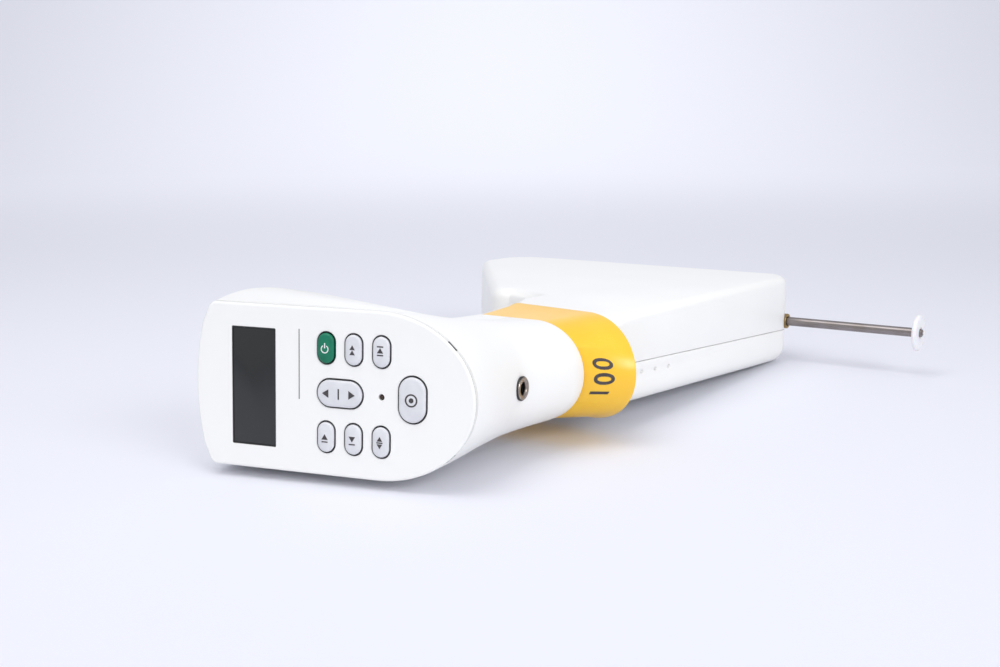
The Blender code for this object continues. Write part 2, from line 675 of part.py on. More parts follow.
def make_covers():
    front = add_part("front_cover", loft(grip_rings(0.0)), WHITE)
    rear = add_part("rear_cover", loft(grip_rings(0.0)), WHITE)
    inner = add_tool("cover_hollow", loft(grip_rings(WALL, 0.002)))
    reach = 0.2
    behind = add_tool("behind_seam", box((-reach, COVER_SEAM_Y - GAP / 2, -reach), (reach, reach, reach)))
    ahead = add_tool("ahead_of_seam", box((-reach, -reach, -reach), (reach, COVER_SEAM_Y + GAP / 2, reach)))
    combine(front, inner)
    combine(rear, inner)
    combine(front, behind)
    combine(rear, ahead)
    jack = new_empty("jack_seat", jack_frame(), PIPETTE)
    hole = add_tool("jack_hole", bar("Z", -0.006, 0.006, 0, 0, JACK_RADIUS - 0.0004, 16), jack)
    combine(front, hole)
    barrel = JACK_RADIUS - 0.0004 - GAP
    ring = 0.0034
    profile = [(JACK_RADIUS, GAP + 0.0008), (JACK_RADIUS, GAP), (barrel, GAP), (barrel, -JACK_DEPTH),
               (JACK_BORE, -JACK_DEPTH), (JACK_BORE, -0.0005), (ring + 0.0001, -0.0005),
               (ring + 0.0001, GAP + 0.0008)]
    turned("charge_jack", profile, DARK, jack, Matrix.Identity(4), 16, closed=True)
    profile = [(ring - GAP, GAP + 0.0010), (ring - GAP, -0.0002), (JACK_BORE + GAP, -0.0002),
               (JACK_BORE + GAP, GAP + 0.0006), (JACK_BORE + 0.0009, GAP + 0.0010)]
    turned("jack_ring", profile, STEEL, jack, Matrix.Identity(4), 16, closed=True)
    cut_back_openings(rear)


def cut_back_openings(rear):
    """Openings in the back of the grip for the trigger and the eject slider."""
    side = TRIGGER_WIDTH / 2 + GAP
    end = TRIGGER_LENGTH / 2 + GAP
    opening = rectangle(TRIGGER_X - end, -side, TRIGGER_X + end, side)
    slot = rectangle(EJECT_STEM[0] - GAP, -EJECT_STEM_HALF - GAP,
                     EJECT_STEM[1] + EJECT_TRAVEL + GAP, EJECT_STEM_HALF + GAP)
    cutter = bmesh.new()
    for outline in (opening, slot):
        low, high = GRIP_BACK - 0.008, GRIP_BACK + 0.012
        add_to(cutter, box((outline[0][0], low, outline[0][1]), (outline[2][0], high, outline[2][1])))
    combine(rear, add_tool("back_openings", cutter))


def make_trigger():
    inner = TRIGGER_FLANGE_Y + 0.0008
    outer = GRIP_BACK + 0.0050
    length = TRIGGER_LENGTH / 2
    outline = [(TRIGGER_X - length, inner), (TRIGGER_X + length, inner)]
    outline += arc(TRIGGER_X, outer - 0.0040, length, 0.0040, 0, 180, 8)
    body = prism(outline, -TRIGGER_WIDTH / 2, TRIGGER_WIDTH / 2, rim=0.0008, steps=1, rims=("high", "low"))
    trigger = add_part("trigger", body, WHITE, origin=(TRIGGER_X, GRIP_BACK, 0))
    flange = box((TRIGGER_X - length - 0.0015, TRIGGER_FLANGE_Y, -TRIGGER_WIDTH / 2 - 0.0012),
                 (TRIGGER_X + length + 0.0012, inner + 0.0010, TRIGGER_WIDTH / 2 + 0.0012))
    combine(trigger, add_tool("trigger_flange", flange), "UNION")
    switch = box((TRIGGER_X - 0.003, BATTERY_BACK + 0.0016, -0.003),
                 (TRIGGER_X + 0.003, TRIGGER_FLANGE_Y - TRIGGER_TRAVEL - GAP, 0.003))
    board = box((TRIGGER_X - 0.006, BATTERY_BACK + GAP, -0.006), (TRIGGER_X + 0.006, BATTERY_BACK + 0.0018, 0.006))
    switch_part = add_part("trigger_switch", board, BOARD)
    combine(switch_part, add_tool("switch_body", switch), "UNION")


def make_battery():
    outline = rectangle(BATTERY_FRONT, -BATTERY_WIDTH / 2, BATTERY_BACK, BATTERY_WIDTH / 2, 0.0035, 3)
    add_part("battery_pack", prism(outline, BATTERY_START, BATTERY_START + BATTERY_LENGTH, ALONG_X), GREEN)


def make_ejector():
    """The slider on the back of the grip, its rod, the yoke and the stripper bar."""
    low, high = EJECT_STEM
    outer = GRIP_BACK + 0.0060
    button = [(low - 0.002, GRIP_BACK + 0.0012), (high + 0.002, GRIP_BACK + 0.0012)]
    button += arc((low + high) / 2, outer - 0.0030, (high - low) / 2 + 0.002, 0.0030, 0, 180, 8)
    body = prism(button, -0.006, 0.006, rim=0.0008, steps=1, rims=("high", "low"))
    slider = add_part("eject_slider", body, WHITE, origin=((low + high) / 2, EJECT_ROD_Y, EJECT_ROD_Z))
    stem = box((low, EJECT_ROD_Y - 0.001, -EJECT_STEM_HALF), (high, GRIP_BACK + 0.002, EJECT_STEM_HALF))
    combine(slider, add_tool("slider_stem", stem), "UNION")
    foot = box((low, EJECT_ROD_Y - 0.002, EJECT_ROD_Z - 0.002), (high, EJECT_ROD_Y + 0.002, EJECT_STEM_HALF - 0.0004))
    combine(slider, add_tool("slider_foot", foot), "UNION")
    add_part("eject_rod", bar("X", EJECT_ROD_START, YOKE_START - GAP, EJECT_ROD_Y, EJECT_ROD_Z,
                              EJECT_ROD_RADIUS), STEEL, origin=(EJECT_ROD_START, EJECT_ROD_Y, EJECT_ROD_Z))
    near, far = YOKE_NEAR, YOKE_FAR
    bend = YOKE_START + 0.008
    yoke = [(YOKE_START, near), (YOKE_END, near), (YOKE_END, near + YOKE_LEG), (bend, near + YOKE_LEG),
            (bend, far - YOKE_LEG), (YOKE_END, far - YOKE_LEG), (YOKE_END, far), (YOKE_START, far)]
    add_part("eject_yoke", prism(yoke, YOKE_LOW, YOKE_LOW + YOKE_THICKNESS), STEEL,
             origin=(YOKE_START, EJECT_ROD_Y, EJECT_ROD_Z))
    outline = rectangle(near - 0.004, -0.0130, far + 0.004, 0.0060, 0.003, 3)
    stripper = add_part("stripper_bar", prism(outline, STRIPPER_START, STRIPPER_START + STRIPPER_THICKNESS,
                                              ALONG_X, rim=0.0008, steps=1), WHITE,
                        origin=(STRIPPER_START, EJECT_ROD_Y, EJECT_ROD_Z))
    combine(stripper, NOZZLE_SLOT)


def manifold_outline():
    """The lower housing's outline, counter-clockwise from under the collar."""
    start = COLLAR_END - 0.0260
    end = MANIFOLD_END
    neck = COLLAR_END + NECK_LENGTH
    shoulder = COLLAR_END + SHOULDER_X
    points = [(start, -MANIFOLD_NEAR)]
    points += arc(end - NEAR_CORNER_LENGTH, NEAR_CORNER_DEPTH - MANIFOLD_NEAR, NEAR_CORNER_LENGTH,
                  NEAR_CORNER_DEPTH, -90, 0, 9)
    points += arc(end - FAR_CORNER, MANIFOLD_FAR - FAR_CORNER, FAR_CORNER, FAR_CORNER, 0, 90, 6)
    points += arc(end - BACK_CORNER_X, MANIFOLD_FAR - BACK_CORNER, BACK_CORNER, BACK_CORNER, 90, BACK_SLOPE, 2)
    points += arc(shoulder + 0.0045, SHOULDER_Y - 0.0080, 0.009, 0.009, BACK_SLOPE, 205, 4)
    points += [(neck, NECK_BACK), (start, NECK_BACK)]
    return points


def along_housing(x, neck, tip):
    """A height that changes evenly from the neck to the tips."""
    return neck + (tip - neck) * (x - COLLAR_END) / MANIFOLD_LENGTH


def slant(bm, neck_rise, tip_rise):
    """Slants a shell's flat side by extra heights at the neck and the tips, and its seam edge."""
    for vert in bm.verts:
        x = vert.co.x
        if abs(vert.co.z) > 0.0025:
            vert.co.z += along_housing(x, neck_rise, tip_rise)
        else:
            vert.co.z += along_housing(x, NECK_SEAM, TIP_SEAM)
    return bm


def screw_places():
    """Where the housing screws stand, as (x, y)."""
    end = MANIFOLD_END
    return [(COLLAR_END + 0.0180, -MANIFOLD_NEAR + 0.0105), (end - 0.0220, -MANIFOLD_NEAR + 0.0135),
            (end - 0.0280, MANIFOLD_FAR - 0.0125), (BLOCK_START + 0.0120, SHOULDER_Y + 0.0030)]


def screw_seat(x):
    """The height of a screw head's seat in the lower shell."""
    return -along_housing(x, NECK_LOWER, TIP_LOWER) + 0.0030


def make_shell(name, side, neck, tip, rounding):
    """Half of the lower housing: its outer body, hollowed, with room for the collar."""
    seam = side * GAP / 2
    rise = (0.0, side * (tip - neck))
    low, high = sorted((seam, side * neck))
    rims = ("high",) if side > 0 else ("low",)
    body = prism(manifold_outline(), low, high, rim=rounding, steps=4, rims=rims)
    shell = add_part(name, slant(body, *rise), WHITE)
    low, high = sorted((-side * 0.0020, side * (neck - MANIFOLD_WALL)))
    hollow = prism(shrink(manifold_outline(), MANIFOLD_WALL), low, high, rim=rounding - MANIFOLD_WALL,
                   steps=3, rims=rims)
    combine(shell, add_tool(name + "_hollow", slant(hollow, *rise)))
    combine(shell, COLLAR_SPACE)
    return shell


def add_rail_supports(bosses, holes):
    """Two ribs that carry the rails and guide the spacing rod."""
    for y in RAIL_SUPPORT_Y:
        add_to(bosses, box((RAIL_X[0] - 0.0035, y, MANIFOLD_WALL - TIP_LOWER - 0.0002),
                           (NOZZLE_ROOT, y + RAIL_SUPPORT, ROD_RADIUS + 0.004)))
    near, far = RAIL_SUPPORT_Y[0] - 0.001, RAIL_SUPPORT_Y[1] + 0.004
    for x in RAIL_X:
        add_to(holes, bar("Y", near, far, RAIL_Z, x, RAIL_RADIUS + BORE_GAP, 10))
    add_to(holes, bar("Y", near, near + 0.005, ROD_Z, ROD_LINE_X, ROD_RADIUS + BORE_GAP, 12))


def make_manifold():
    """The two halves of the lower housing, with bosses, openings and the rod's hole."""
    upper = make_shell("manifold_left_shell", 1, NECK_UPPER, TIP_UPPER, UPPER_ROUNDING)
    lower = make_shell("manifold_right_shell", -1, NECK_LOWER, TIP_LOWER, LOWER_ROUNDING)
    for shell, side in ((upper, 1), (lower, -1)):
        bosses = bmesh.new()
        holes = bmesh.new()
        for x, y in screw_places():
            if side > 0:
                ends = (0.0004, along_housing(x, NECK_UPPER, TIP_UPPER) - MANIFOLD_WALL + 0.0010)
                bore = (-0.001, SCREW_DEPTH + 0.002)
            else:
                ends = (screw_seat(x) - 0.0020, -0.0004)
                bore = (screw_seat(x) - 0.005, 0.001)
            add_to(bosses, bar("Z", *ends, x, y, SCREW_BOSS, 12))
            add_to(holes, bar("Z", *bore, x, y, SCREW_RADIUS + BORE_GAP, 10))
        if side < 0:
            add_rail_supports(bosses, holes)
        combine(shell, add_tool(shell.name + "_bosses", bosses), "UNION")
        combine(shell, add_tool(shell.name + "_screw_holes", holes))
        combine(shell, NOZZLE_SLOT)
        combine(shell, ROD_HOLE)
    combine(lower, LEG_SLITS)
    sinks = bmesh.new()
    for number, (x, y) in enumerate(screw_places(), 1):
        seat = screw_seat(x)
        add_to(sinks, bar("Z", seat - 0.0050, seat, x, y, SCREW_HEAD + BORE_GAP, 12))
        head = seat - GAP
        profile = [(0, SCREW_DEPTH), (SCREW_RADIUS, SCREW_DEPTH), (SCREW_RADIUS, head), (SCREW_HEAD, head),
                   (SCREW_HEAD, head - 0.0020), (0, head - 0.0020)]
        turned("housing_screw_" + str(number), profile, STEEL, PIPETTE, Matrix.Translation((x, y, 0)), 10)
    combine(lower, add_tool("screw_sinks", sinks))


def make_shared_cutters():
    """Cutters that shape more than one part."""
    global NOZZLE_SLOT, ROD_HOLE, LEG_SLITS, COLLAR_SPACE
    reach = NOZZLE_RADIUS + 0.0006
    NOZZLE_SLOT = add_tool("nozzle_slot", box((MANIFOLD_END - 0.006, LAST_CHANNEL_Y - reach, -reach),
                                              (MANIFOLD_END + 0.020, FIRST_CHANNEL_Y + reach, reach)))
    ROD_HOLE = add_tool("rod_hole", bar("Y", ROD_EXIT_Y - 0.010, ROD_EXIT_Y + 0.008, ROD_Z, ROD_LINE_X,
                                        BUSHING_RADIUS + GAP, 16))
    slits = bmesh.new()
    low, high = YOKE_LOW - GAP, YOKE_LOW + YOKE_THICKNESS + GAP
    for start in (YOKE_NEAR, YOKE_FAR - YOKE_LEG):
        add_to(slits, box((MANIFOLD_END - 0.006, start - GAP, low), (MANIFOLD_END + 0.004, start + YOKE_LEG + GAP, high)))
    LEG_SLITS = add_tool("leg_slits", slits)
    rim = collar_rings(-2 * GAP, GAP)[-1]
    start = [(x - 2 * COLLAR_LENGTH, y, z) for x, y, z in rim]
    COLLAR_SPACE = add_tool("collar_space", loft([start, rim]))


def make_collar():
    collar = add_part("volume_collar", loft(collar_rings(0.0)), YELLOW)
    combine(collar, add_tool("collar_hollow", loft(collar_rings(COLLAR_WALL, 0.0005))))


def make_chassis():
    """The tube in the neck that joins grip and housing and holds the motor."""
    inset = WALL + GAP + COLLAR_WALL + GAP
    wall = 0.0015
    half = min(GRIP_HALF - inset, INNER_LOWER - GAP)
    outline = shield(GRIP_FRONT - inset, GRIP_BACK - inset, half, half, GRIP_NOSE - inset, 0.0056, GRIP_CROWN)
    outline = [(-a, z) for a, z in reversed(outline)]
    flange_at = COLLAR_END + 0.0015
    chassis = add_part("neck_chassis", prism(outline, CHASSIS_START, flange_at + 0.0010, ALONG_X), GREY)
    edge = MANIFOLD_NEAR - MANIFOLD_WALL - GAP
    flange = rectangle(-edge, -INNER_LOWER + GAP, NECK_BACK - MANIFOLD_WALL - GAP, INNER_UPPER - GAP,
                       LOWER_ROUNDING - MANIFOLD_WALL + 0.0015, 4)
    combine(chassis, add_tool("chassis_flange", prism(flange, flange_at, flange_at + 0.0024, ALONG_X)), "UNION")
    inside = shrink(outline, wall)
    combine(chassis, add_tool("chassis_bore", prism(inside, CHASSIS_START - 0.002, flange_at + 0.005, ALONG_X)))


def make_piston_drive():
    """A linear motor whose screw pushes the plate that carries all eight pistons."""
    middle = -0.0012
    bore = SCREW_SHAFT_RADIUS + BORE_GAP
    motor = add_part("stepper_motor", bar("X", MOTOR_START, MOTOR_END, middle, 0, MOTOR_RADIUS, 20), STEEL)
    combine(motor, add_tool("motor_bore", bar("X", MOTOR_START - 0.002, MOTOR_END + 0.002, middle, 0, bore, 12)))
    start = MOTOR_START - 0.005
    add_part("lead_screw", bar("X", start, PLATE_START - GAP, middle, 0, SCREW_SHAFT_RADIUS), STEEL,
             origin=(start, middle, 0))
    outline = rectangle(-BLOCK_WIDTH_HALF, -0.006, BLOCK_WIDTH_HALF, 0.006, 0.002, 2)
    plate = add_part("piston_carrier", prism(outline, PLATE_START, PLATE_START + PLATE_THICKNESS, ALONG_X), STEEL,
                     origin=(PLATE_START, 0, 0))
    pistons = bmesh.new()
    for i in range(CHANNELS):
        y = -PISTON_SPAN + i * PISTON_PITCH
        add_to(pistons, bar("X", PLATE_START + PLATE_THICKNESS - 0.001, BLOCK_START + 0.0050, y, 0,
                            PISTON_RADIUS, 10))
    combine(plate, add_tool("pistons", pistons), "UNION")
    block = add_part("cylinder_block", box((BLOCK_START, -BLOCK_WIDTH_HALF, -BLOCK_HALF_HEIGHT),
                                           (BLOCK_START + BLOCK_LENGTH, BLOCK_WIDTH_HALF, BLOCK_HALF_HEIGHT)),
                     TRANSLUCENT)
    feet = bmesh.new()
    for y in (-BLOCK_WIDTH_HALF + 0.0045, BLOCK_WIDTH_HALF - 0.0105):
        add_to(feet, box((BLOCK_START + 0.006, y, -INNER_LOWER - 0.0004), (BLOCK_START + 0.020, y + 0.006, 0)))
    combine(block, add_tool("block_feet", feet), "UNION")
    bores = bmesh.new()
    for i in range(CHANNELS):
        y = -PISTON_SPAN + i * PISTON_PITCH
        add_to(bores, bar("X", BLOCK_START - 0.002, BLOCK_START + BLOCK_LENGTH + 0.002, y, 0,
                          PISTON_RADIUS + BORE_GAP, 10))
    combine(block, add_tool("cylinder_bores", bores))


def channel_y(index):
    return FIRST_CHANNEL_Y - index * PITCH_WIDE


def make_carriages():
    """Eight thin plates on two rails, each with a nozzle and a pin for the cam plate."""
    half = CARRIAGE_THICKNESS / 2
    for i in range(CHANNELS):
        y = channel_y(i)
        number = str(i + 1)
        outline = rectangle(CARRIAGE_START, CARRIAGE_BOTTOM, NOZZLE_ROOT, CARRIAGE_TOP)
        profile = [(z, x) for x, z in outline][::-1]
        plate = add_part("carriage_" + number, prism(profile, y - half, y + half, ALONG_Y), WHITE,
                         origin=(CAM_PIN_X, y, 0))
        bores = bmesh.new()
        for x in RAIL_X:
            add_to(bores, bar("Y", y - half - 0.001, y + half + 0.001, RAIL_Z, x, RAIL_RADIUS + BORE_GAP, 10))
        combine(plate, add_tool("carriage_bores_" + number, bores))
        pin_x = CAM_PIN_X - i * CAM_PIN_STEP
        pin = bar("Z", CARRIAGE_TOP - 0.002, CAM_LOW + CAM_THICKNESS + 0.0008, pin_x, y, CAM_PIN_RADIUS, 10)
        combine(plate, add_tool("carriage_pin_" + number, pin), "UNION")
        seat = Matrix.Translation((NOZZLE_ROOT + GAP, y, 0)) @ Matrix.Rotation(math.pi / 2, 4, "Y")
        length = MANIFOLD_END + NOZZLE_REACH - NOZZLE_ROOT - GAP
        cone = length - 0.0130
        tip = NOZZLE_RADIUS - NOZZLE_TAPER
        profile = [(tip, length), (NOZZLE_RADIUS - 0.0001, cone), (NOZZLE_RADIUS, cone - 0.0006),
                   (NOZZLE_RADIUS, 0), (NOZZLE_BORE, 0), (NOZZLE_BORE, length)]
        turned("nozzle_" + number, profile, TRANSLUCENT, PIPETTE, seat, 10, closed=True)


def make_rails():
    near, far = RAIL_SUPPORT_Y
    for name, x in zip(("guide_rail_upper", "guide_rail_lower"), RAIL_X):
        rail = bar("Y", near - 0.0005, far + RAIL_SUPPORT + 0.0005, RAIL_Z, x, RAIL_RADIUS, 10)
        add_part(name, rail, STEEL)


def make_cam_plate():
    """The plate whose fanned slots keep the eight channels evenly spaced."""
    margin = 0.0040
    last = CHANNELS - 1
    closed_last = FIRST_CHANNEL_Y - last * PITCH_CLOSE
    tail_x = CAM_PIN_X - last * CAM_PIN_STEP
    outline = [(tail_x - margin, LAST_CHANNEL_Y - margin), (tail_x + margin + 0.002, LAST_CHANNEL_Y - margin),
               (CAM_PIN_X + margin, FIRST_CHANNEL_Y - 0.008), (CAM_PIN_X + margin, FIRST_CHANNEL_Y + margin),
               (CAM_PIN_X - CAM_TRAVEL - margin, FIRST_CHANNEL_Y + margin),
               (tail_x - CAM_TRAVEL - margin, closed_last + 0.0050),
               (tail_x - CAM_TRAVEL - margin, closed_last - 0.0020)]
    plate = add_part("spacing_cam", prism(outline, CAM_LOW, CAM_LOW + CAM_THICKNESS), STEEL,
                     origin=(CAM_PIN_X, FIRST_CHANNEL_Y, CAM_LOW))
    slots = bmesh.new()
    for i in range(CHANNELS):
        open_end = Vector((CAM_PIN_X - i * CAM_PIN_STEP, channel_y(i)))
        close_end = Vector((open_end.x - CAM_TRAVEL, FIRST_CHANNEL_Y - i * PITCH_CLOSE))
        along = close_end - open_end
        angle = math.atan2(along.y, along.x) - math.pi / 2
        middle = (open_end + close_end) / 2
        width = 2 * (CAM_PIN_RADIUS + BORE_GAP)
        outline = stadium(along.length + width, width, 6)
        slot = prism(outline, CAM_LOW - 0.002, CAM_LOW + CAM_THICKNESS + 0.002)
        turn = Matrix.Translation((middle.x, middle.y, 0)) @ Matrix.Rotation(angle, 4, "Z")
        bmesh.ops.transform(slot, matrix=turn, verts=slot.verts)
        add_to(slots, slot)
    combine(plate, add_tool("cam_slots", slots))


def make_spacing_rod():
    """The rod that is pulled to spread the tips, with its bushing, knob and screw."""
    inner_end = LAST_CHANNEL_Y - CARRIAGE_THICKNESS / 2 - GAP
    bushing_face = -MANIFOLD_NEAR
    bushing_length = ROD_EXIT_Y - bushing_face + MANIFOLD_WALL + BUSHING_RADIUS * EXIT_SLOPE + 0.0006
    rod_end = KNOB_FACE_Y + 0.0004 - KNOB_THICKNESS * 0.7
    add_part("spacing_rod", bar("Y", rod_end, inner_end, ROD_Z, ROD_LINE_X, ROD_RADIUS, 16), STEEL,
             origin=(ROD_LINE_X, inner_end, ROD_Z))
    bore = ROD_RADIUS + BORE_GAP
    seat = Matrix.Translation((ROD_LINE_X, bushing_face, ROD_Z)) @ Matrix.Rotation(math.pi / 2, 4, "X")
    profile = [(BUSHING_RADIUS, 0), (BUSHING_RADIUS, -bushing_length), (bore, -bushing_length), (bore, 0)]
    turned("rod_bushing", profile, BRASS, PIPETTE, seat, 16, closed=True)
    seat = Matrix.Translation((ROD_LINE_X, KNOB_FACE_Y, ROD_Z)) @ Matrix.Rotation(math.pi / 2, 4, "X")
    thick = KNOB_THICKNESS
    pocket = thick * 0.7 - 0.0004 + GAP
    screw = 0.0011
    profile = [(screw, thick), (KNOB_RADIUS * 0.55, thick), (KNOB_RADIUS * 0.9, thick * 0.8),
               (KNOB_RADIUS, thick * 0.5), (KNOB_RADIUS * 0.95, thick * 0.2), (KNOB_RADIUS * 0.6, thick * 0.05),
               (ROD_RADIUS + 0.0012, 0), (bore, 0), (bore, pocket), (screw, pocket)]
    turned("rod_knob", profile, WHITE, PIPETTE, seat, 20, closed=True)
    top = thick + KNOB_SCREW_HEAD
    profile = [(0, top), (0.0016, top - 0.0002), (0.0020, thick + GAP), (screw - GAP, thick + GAP),
               (screw - GAP, pocket), (0, pocket)]
    turned("knob_screw", profile, STEEL, PIPETTE, seat, 12)


def resting_attitude():
    """Turns and moves the pipette so that it lies on its head's flare and its housing.

    The middle of the floor area that it covers becomes the world's origin.
    """
    housing_x = MANIFOLD_END - LOWER_ROUNDING
    depth = along_housing(housing_x, NECK_LOWER, TIP_LOWER)
    tilt = max(math.atan2(across - depth, housing_x - x)
               for ring in grip_rings(0.0) for x, _, across in ring)
    turn = Matrix.Rotation(tilt, 3, "Y")
    low = turn @ Vector((housing_x, 0, -depth))
    behind = min((turn @ Vector((panel_point(along, 0).x, 0, across))).x
                 for along, across in panel_outline(PANEL_RIM))
    ahead = (turn @ Vector((MANIFOLD_END + NOZZLE_REACH, 0, NOZZLE_RADIUS - NOZZLE_TAPER))).x
    middle_y = (MANIFOLD_FAR + KNOB_FACE_Y - KNOB_THICKNESS - KNOB_SCREW_HEAD) / 2
    return Matrix.Translation((-(behind + ahead) / 2, -middle_y, -low.z)) @ turn.to_4x4()


clear_scene()
PARTS = new_collection("multichannel_pipette")
CUTTERS = new_collection("cutters")
PIPETTE = new_empty("pipette_lying", resting_attitude())
PANEL = new_empty("panel_plane", place_on_panel(0, 0), PIPETTE)
make_shared_cutters()
make_panel()
make_keys()
make_display()
make_keypad()
make_covers()
make_trigger()
make_battery()
make_collar()
make_chassis()
make_manifold()
make_piston_drive()
make_carriages()
make_rails()
make_cam_plate()
make_spacing_rod()
make_ejector()
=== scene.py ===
"""Looks of an electronic eight-channel pipette that lies on its side.

Lengths are in metres. In the pipette's own frame X runs from the head to the tips, Y points to
its back and Z to its left side. The panel's frame has X along the panel, Y across it and Z out
of its face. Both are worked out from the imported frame.
"""
import json
import math

import bmesh
import bpy
from mathutils import Matrix, Vector
from mathutils.bvhtree import BVHTree


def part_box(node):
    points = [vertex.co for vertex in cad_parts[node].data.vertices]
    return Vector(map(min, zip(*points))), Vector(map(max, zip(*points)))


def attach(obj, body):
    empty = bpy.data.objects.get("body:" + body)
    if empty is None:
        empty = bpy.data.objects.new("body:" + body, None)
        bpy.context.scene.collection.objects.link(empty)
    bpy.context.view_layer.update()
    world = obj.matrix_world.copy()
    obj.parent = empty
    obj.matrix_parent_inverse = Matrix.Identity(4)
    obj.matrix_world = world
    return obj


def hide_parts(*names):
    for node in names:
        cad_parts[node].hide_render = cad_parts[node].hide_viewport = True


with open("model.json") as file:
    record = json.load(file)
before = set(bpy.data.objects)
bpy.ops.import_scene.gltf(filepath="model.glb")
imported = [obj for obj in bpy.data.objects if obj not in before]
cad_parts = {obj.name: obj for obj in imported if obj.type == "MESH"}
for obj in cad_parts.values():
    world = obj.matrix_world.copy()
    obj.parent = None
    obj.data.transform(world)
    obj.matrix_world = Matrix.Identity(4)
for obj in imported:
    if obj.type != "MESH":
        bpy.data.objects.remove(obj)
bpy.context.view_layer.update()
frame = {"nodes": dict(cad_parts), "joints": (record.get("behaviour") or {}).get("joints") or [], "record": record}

# Sizes that the looks share with the solids
GAP = 0.0003
WALL = 0.0022
PANEL_HALF = 0.0270
PANEL_REACH = 0.0314
PANEL_TAIL = 0.0665
PANEL_NOSE = 0.0330
PANEL_CROWN = 0.0043
PANEL_CORNER = 0.0030
PANEL_THICKNESS = 0.0022
PANEL_JOINT = -0.0012
PLATE_TOP = -0.00006
JOINT_HALF = 0.00016
PANEL_TILT = math.radians(14)
CASE_DEPTH = PANEL_THICKNESS + GAP
HEAD_DEPTH = 0.0275
HEAD_FLARE = 0.0024
DISPLAY_LENGTH = 0.0159
DISPLAY_WIDTH = 0.0387
DISPLAY_CENTRE = -0.0452
KEY_PITCH = 0.00955
KEY_ROW = 0.0143
KEY_SIZE = (0.0097, 0.0056)
VOLUME_KEY_CENTRE = -0.0143
VOLUME_KEY_SIZE = (0.0155, 0.0086)
ENTER_KEY_CENTRE = 0.0106
ENTER_KEY_SIZE = (0.0144, 0.0090)
KEY_GAP = 0.0005
KEY_PROUD = 0.0011
KEY_ROOT = -0.0033
LAMP_RADIUS = 0.0010
GRIP_END = 0.0756
GRIP_HALF = 0.0180
GRIP_FRONT = 0.0294
GRIP_WAIST = 0.0252
WAIST_X = 0.0480
GRIP_BACK = 0.0240
GRIP_NOSE = 0.0200
GRIP_CORNER = 0.0080
GRIP_CROWN = 0.0020
COVER_SEAM_Y = 0.0016
COLLAR_START = 0.0716
COLLAR_END = 0.1060
COLLAR_WALL = 0.0018
HOOD_DROP = 0.0117
HOOD_REACH = 0.0440
HOOD_LIP = 0.0030
HOOD_HALF = 0.0195
COLLAR_BACK = 0.0268
JACK_X = 0.0414
JACK_RADIUS = 0.0041
MANIFOLD_END = 0.2680
HOUSING_UPPER = (0.0200, 0.0228)
HOUSING_LOWER = (0.0148, 0.0172)
HOUSING_SEAM = (0.0012, -0.0020)
MANIFOLD_NEAR = 0.0325
MANIFOLD_FAR = 0.1220
NEAR_CORNER = (0.0180, 0.0125)
FAR_CORNER = 0.0180
SHOULDER_X = 0.1410
SHOULDER_Y = 0.0540
NECK_X = 0.1290
NECK_BACK = 0.0235
HOUSING_START = 0.0800
UPPER_ROUNDING = 0.0045
LOWER_ROUNDING = 0.0070
HOUSING_WALL = 0.0020
NOZZLE_RADIUS = 0.0020
FIRST_NOZZLE_Y = 0.0920
LAST_NOZZLE_Y = 0.0031
ROD_X = 0.2590
ROD_Z = 0.0018
ROD_EXIT_Y = -0.0308
KNOB_FACE_Y = -0.0902
ROD_RADIUS = 0.0020
TRIGGER_X = 0.0390
TRIGGER_SIZE = (0.0140, 0.0120)
SCREW_PLACES = ((0.1240, -0.0220), (0.2460, -0.0190), (0.2400, 0.1095), (0.1780, 0.0570))

# Sizes that only the looks have
SAME_PLACE = 0.000001
EDGE_ROUNDING = 0.00025
CUT_REACH = 0.01
PRINT_FILM = 0.00004
PRINT_SINK = 0.00003
# Gap and wall of the dark sleeves that paint the shade in the key openings
SHADE_LINER_GAP = 0.00002
SHADE_LINER_WALL = 0.00020
JACK_STEP = 0.0004
RIM_NOSE = GRIP_NOSE + 0.0060
SKIRT_REACH = 0.0608
ROD_HOLE_RADIUS = 0.0037
SINK_RADIUS = 0.0030
YOKE_SLITS = (-0.0032, 0.0942)
DIMPLES = ((0.1134, -0.0029), (0.1246, -0.0032), (0.1358, -0.0036))


def joint_axis(name):
    return Vector(next(joint["axis"] for joint in frame["joints"] if joint["name"] == name))


def along_housing(x, heights):
    """A height of the lower housing that changes evenly from its neck to its tips."""
    neck, tip = heights
    return neck + (tip - neck) * (x - COLLAR_END) / (MANIFOLD_END - COLLAR_END)


def lying_frame():
    """Where the pipette's own frame lies, from its slide and a spot on its underside."""
    down = joint_axis("eject_slide")
    side = Vector((-down.z, 0, down.x))
    turn = Matrix((down, Vector((0, 1, 0)), side)).transposed()
    mount = next(mount for mount in frame["record"]["mounts"] if mount["name"] == "underside")
    spot = Vector((0.205, 0.030, -along_housing(0.205, HOUSING_LOWER)))
    return Matrix.Translation(Vector(mount["pos_m"]) - turn @ spot) @ turn.to_4x4()


def panel_point(reach, depth):
    """A point on the pipette's middle plane, given along the panel and below its face."""
    along = Vector((math.sin(PANEL_TILT), -math.cos(PANEL_TILT)))
    inwards = Vector((math.cos(PANEL_TILT), math.sin(PANEL_TILT)))
    return along * reach + inwards * depth


def panel_frame():
    along = panel_point(1, 0)
    inwards = panel_point(0, 1)
    return Matrix(((along.x, 0, -inwards.x), (along.y, 0, -inwards.y), (0, 1, 0))).to_4x4()


LYING = lying_frame()
PANEL = LYING @ panel_frame()


# Materials

FINISHES = {}
# The sockets of a Mix node for colours, by number, because its other sockets have the same names
MIX_SHARE, MIX_FIRST, MIX_SECOND, MIX_RESULT = 0, 6, 7, 2


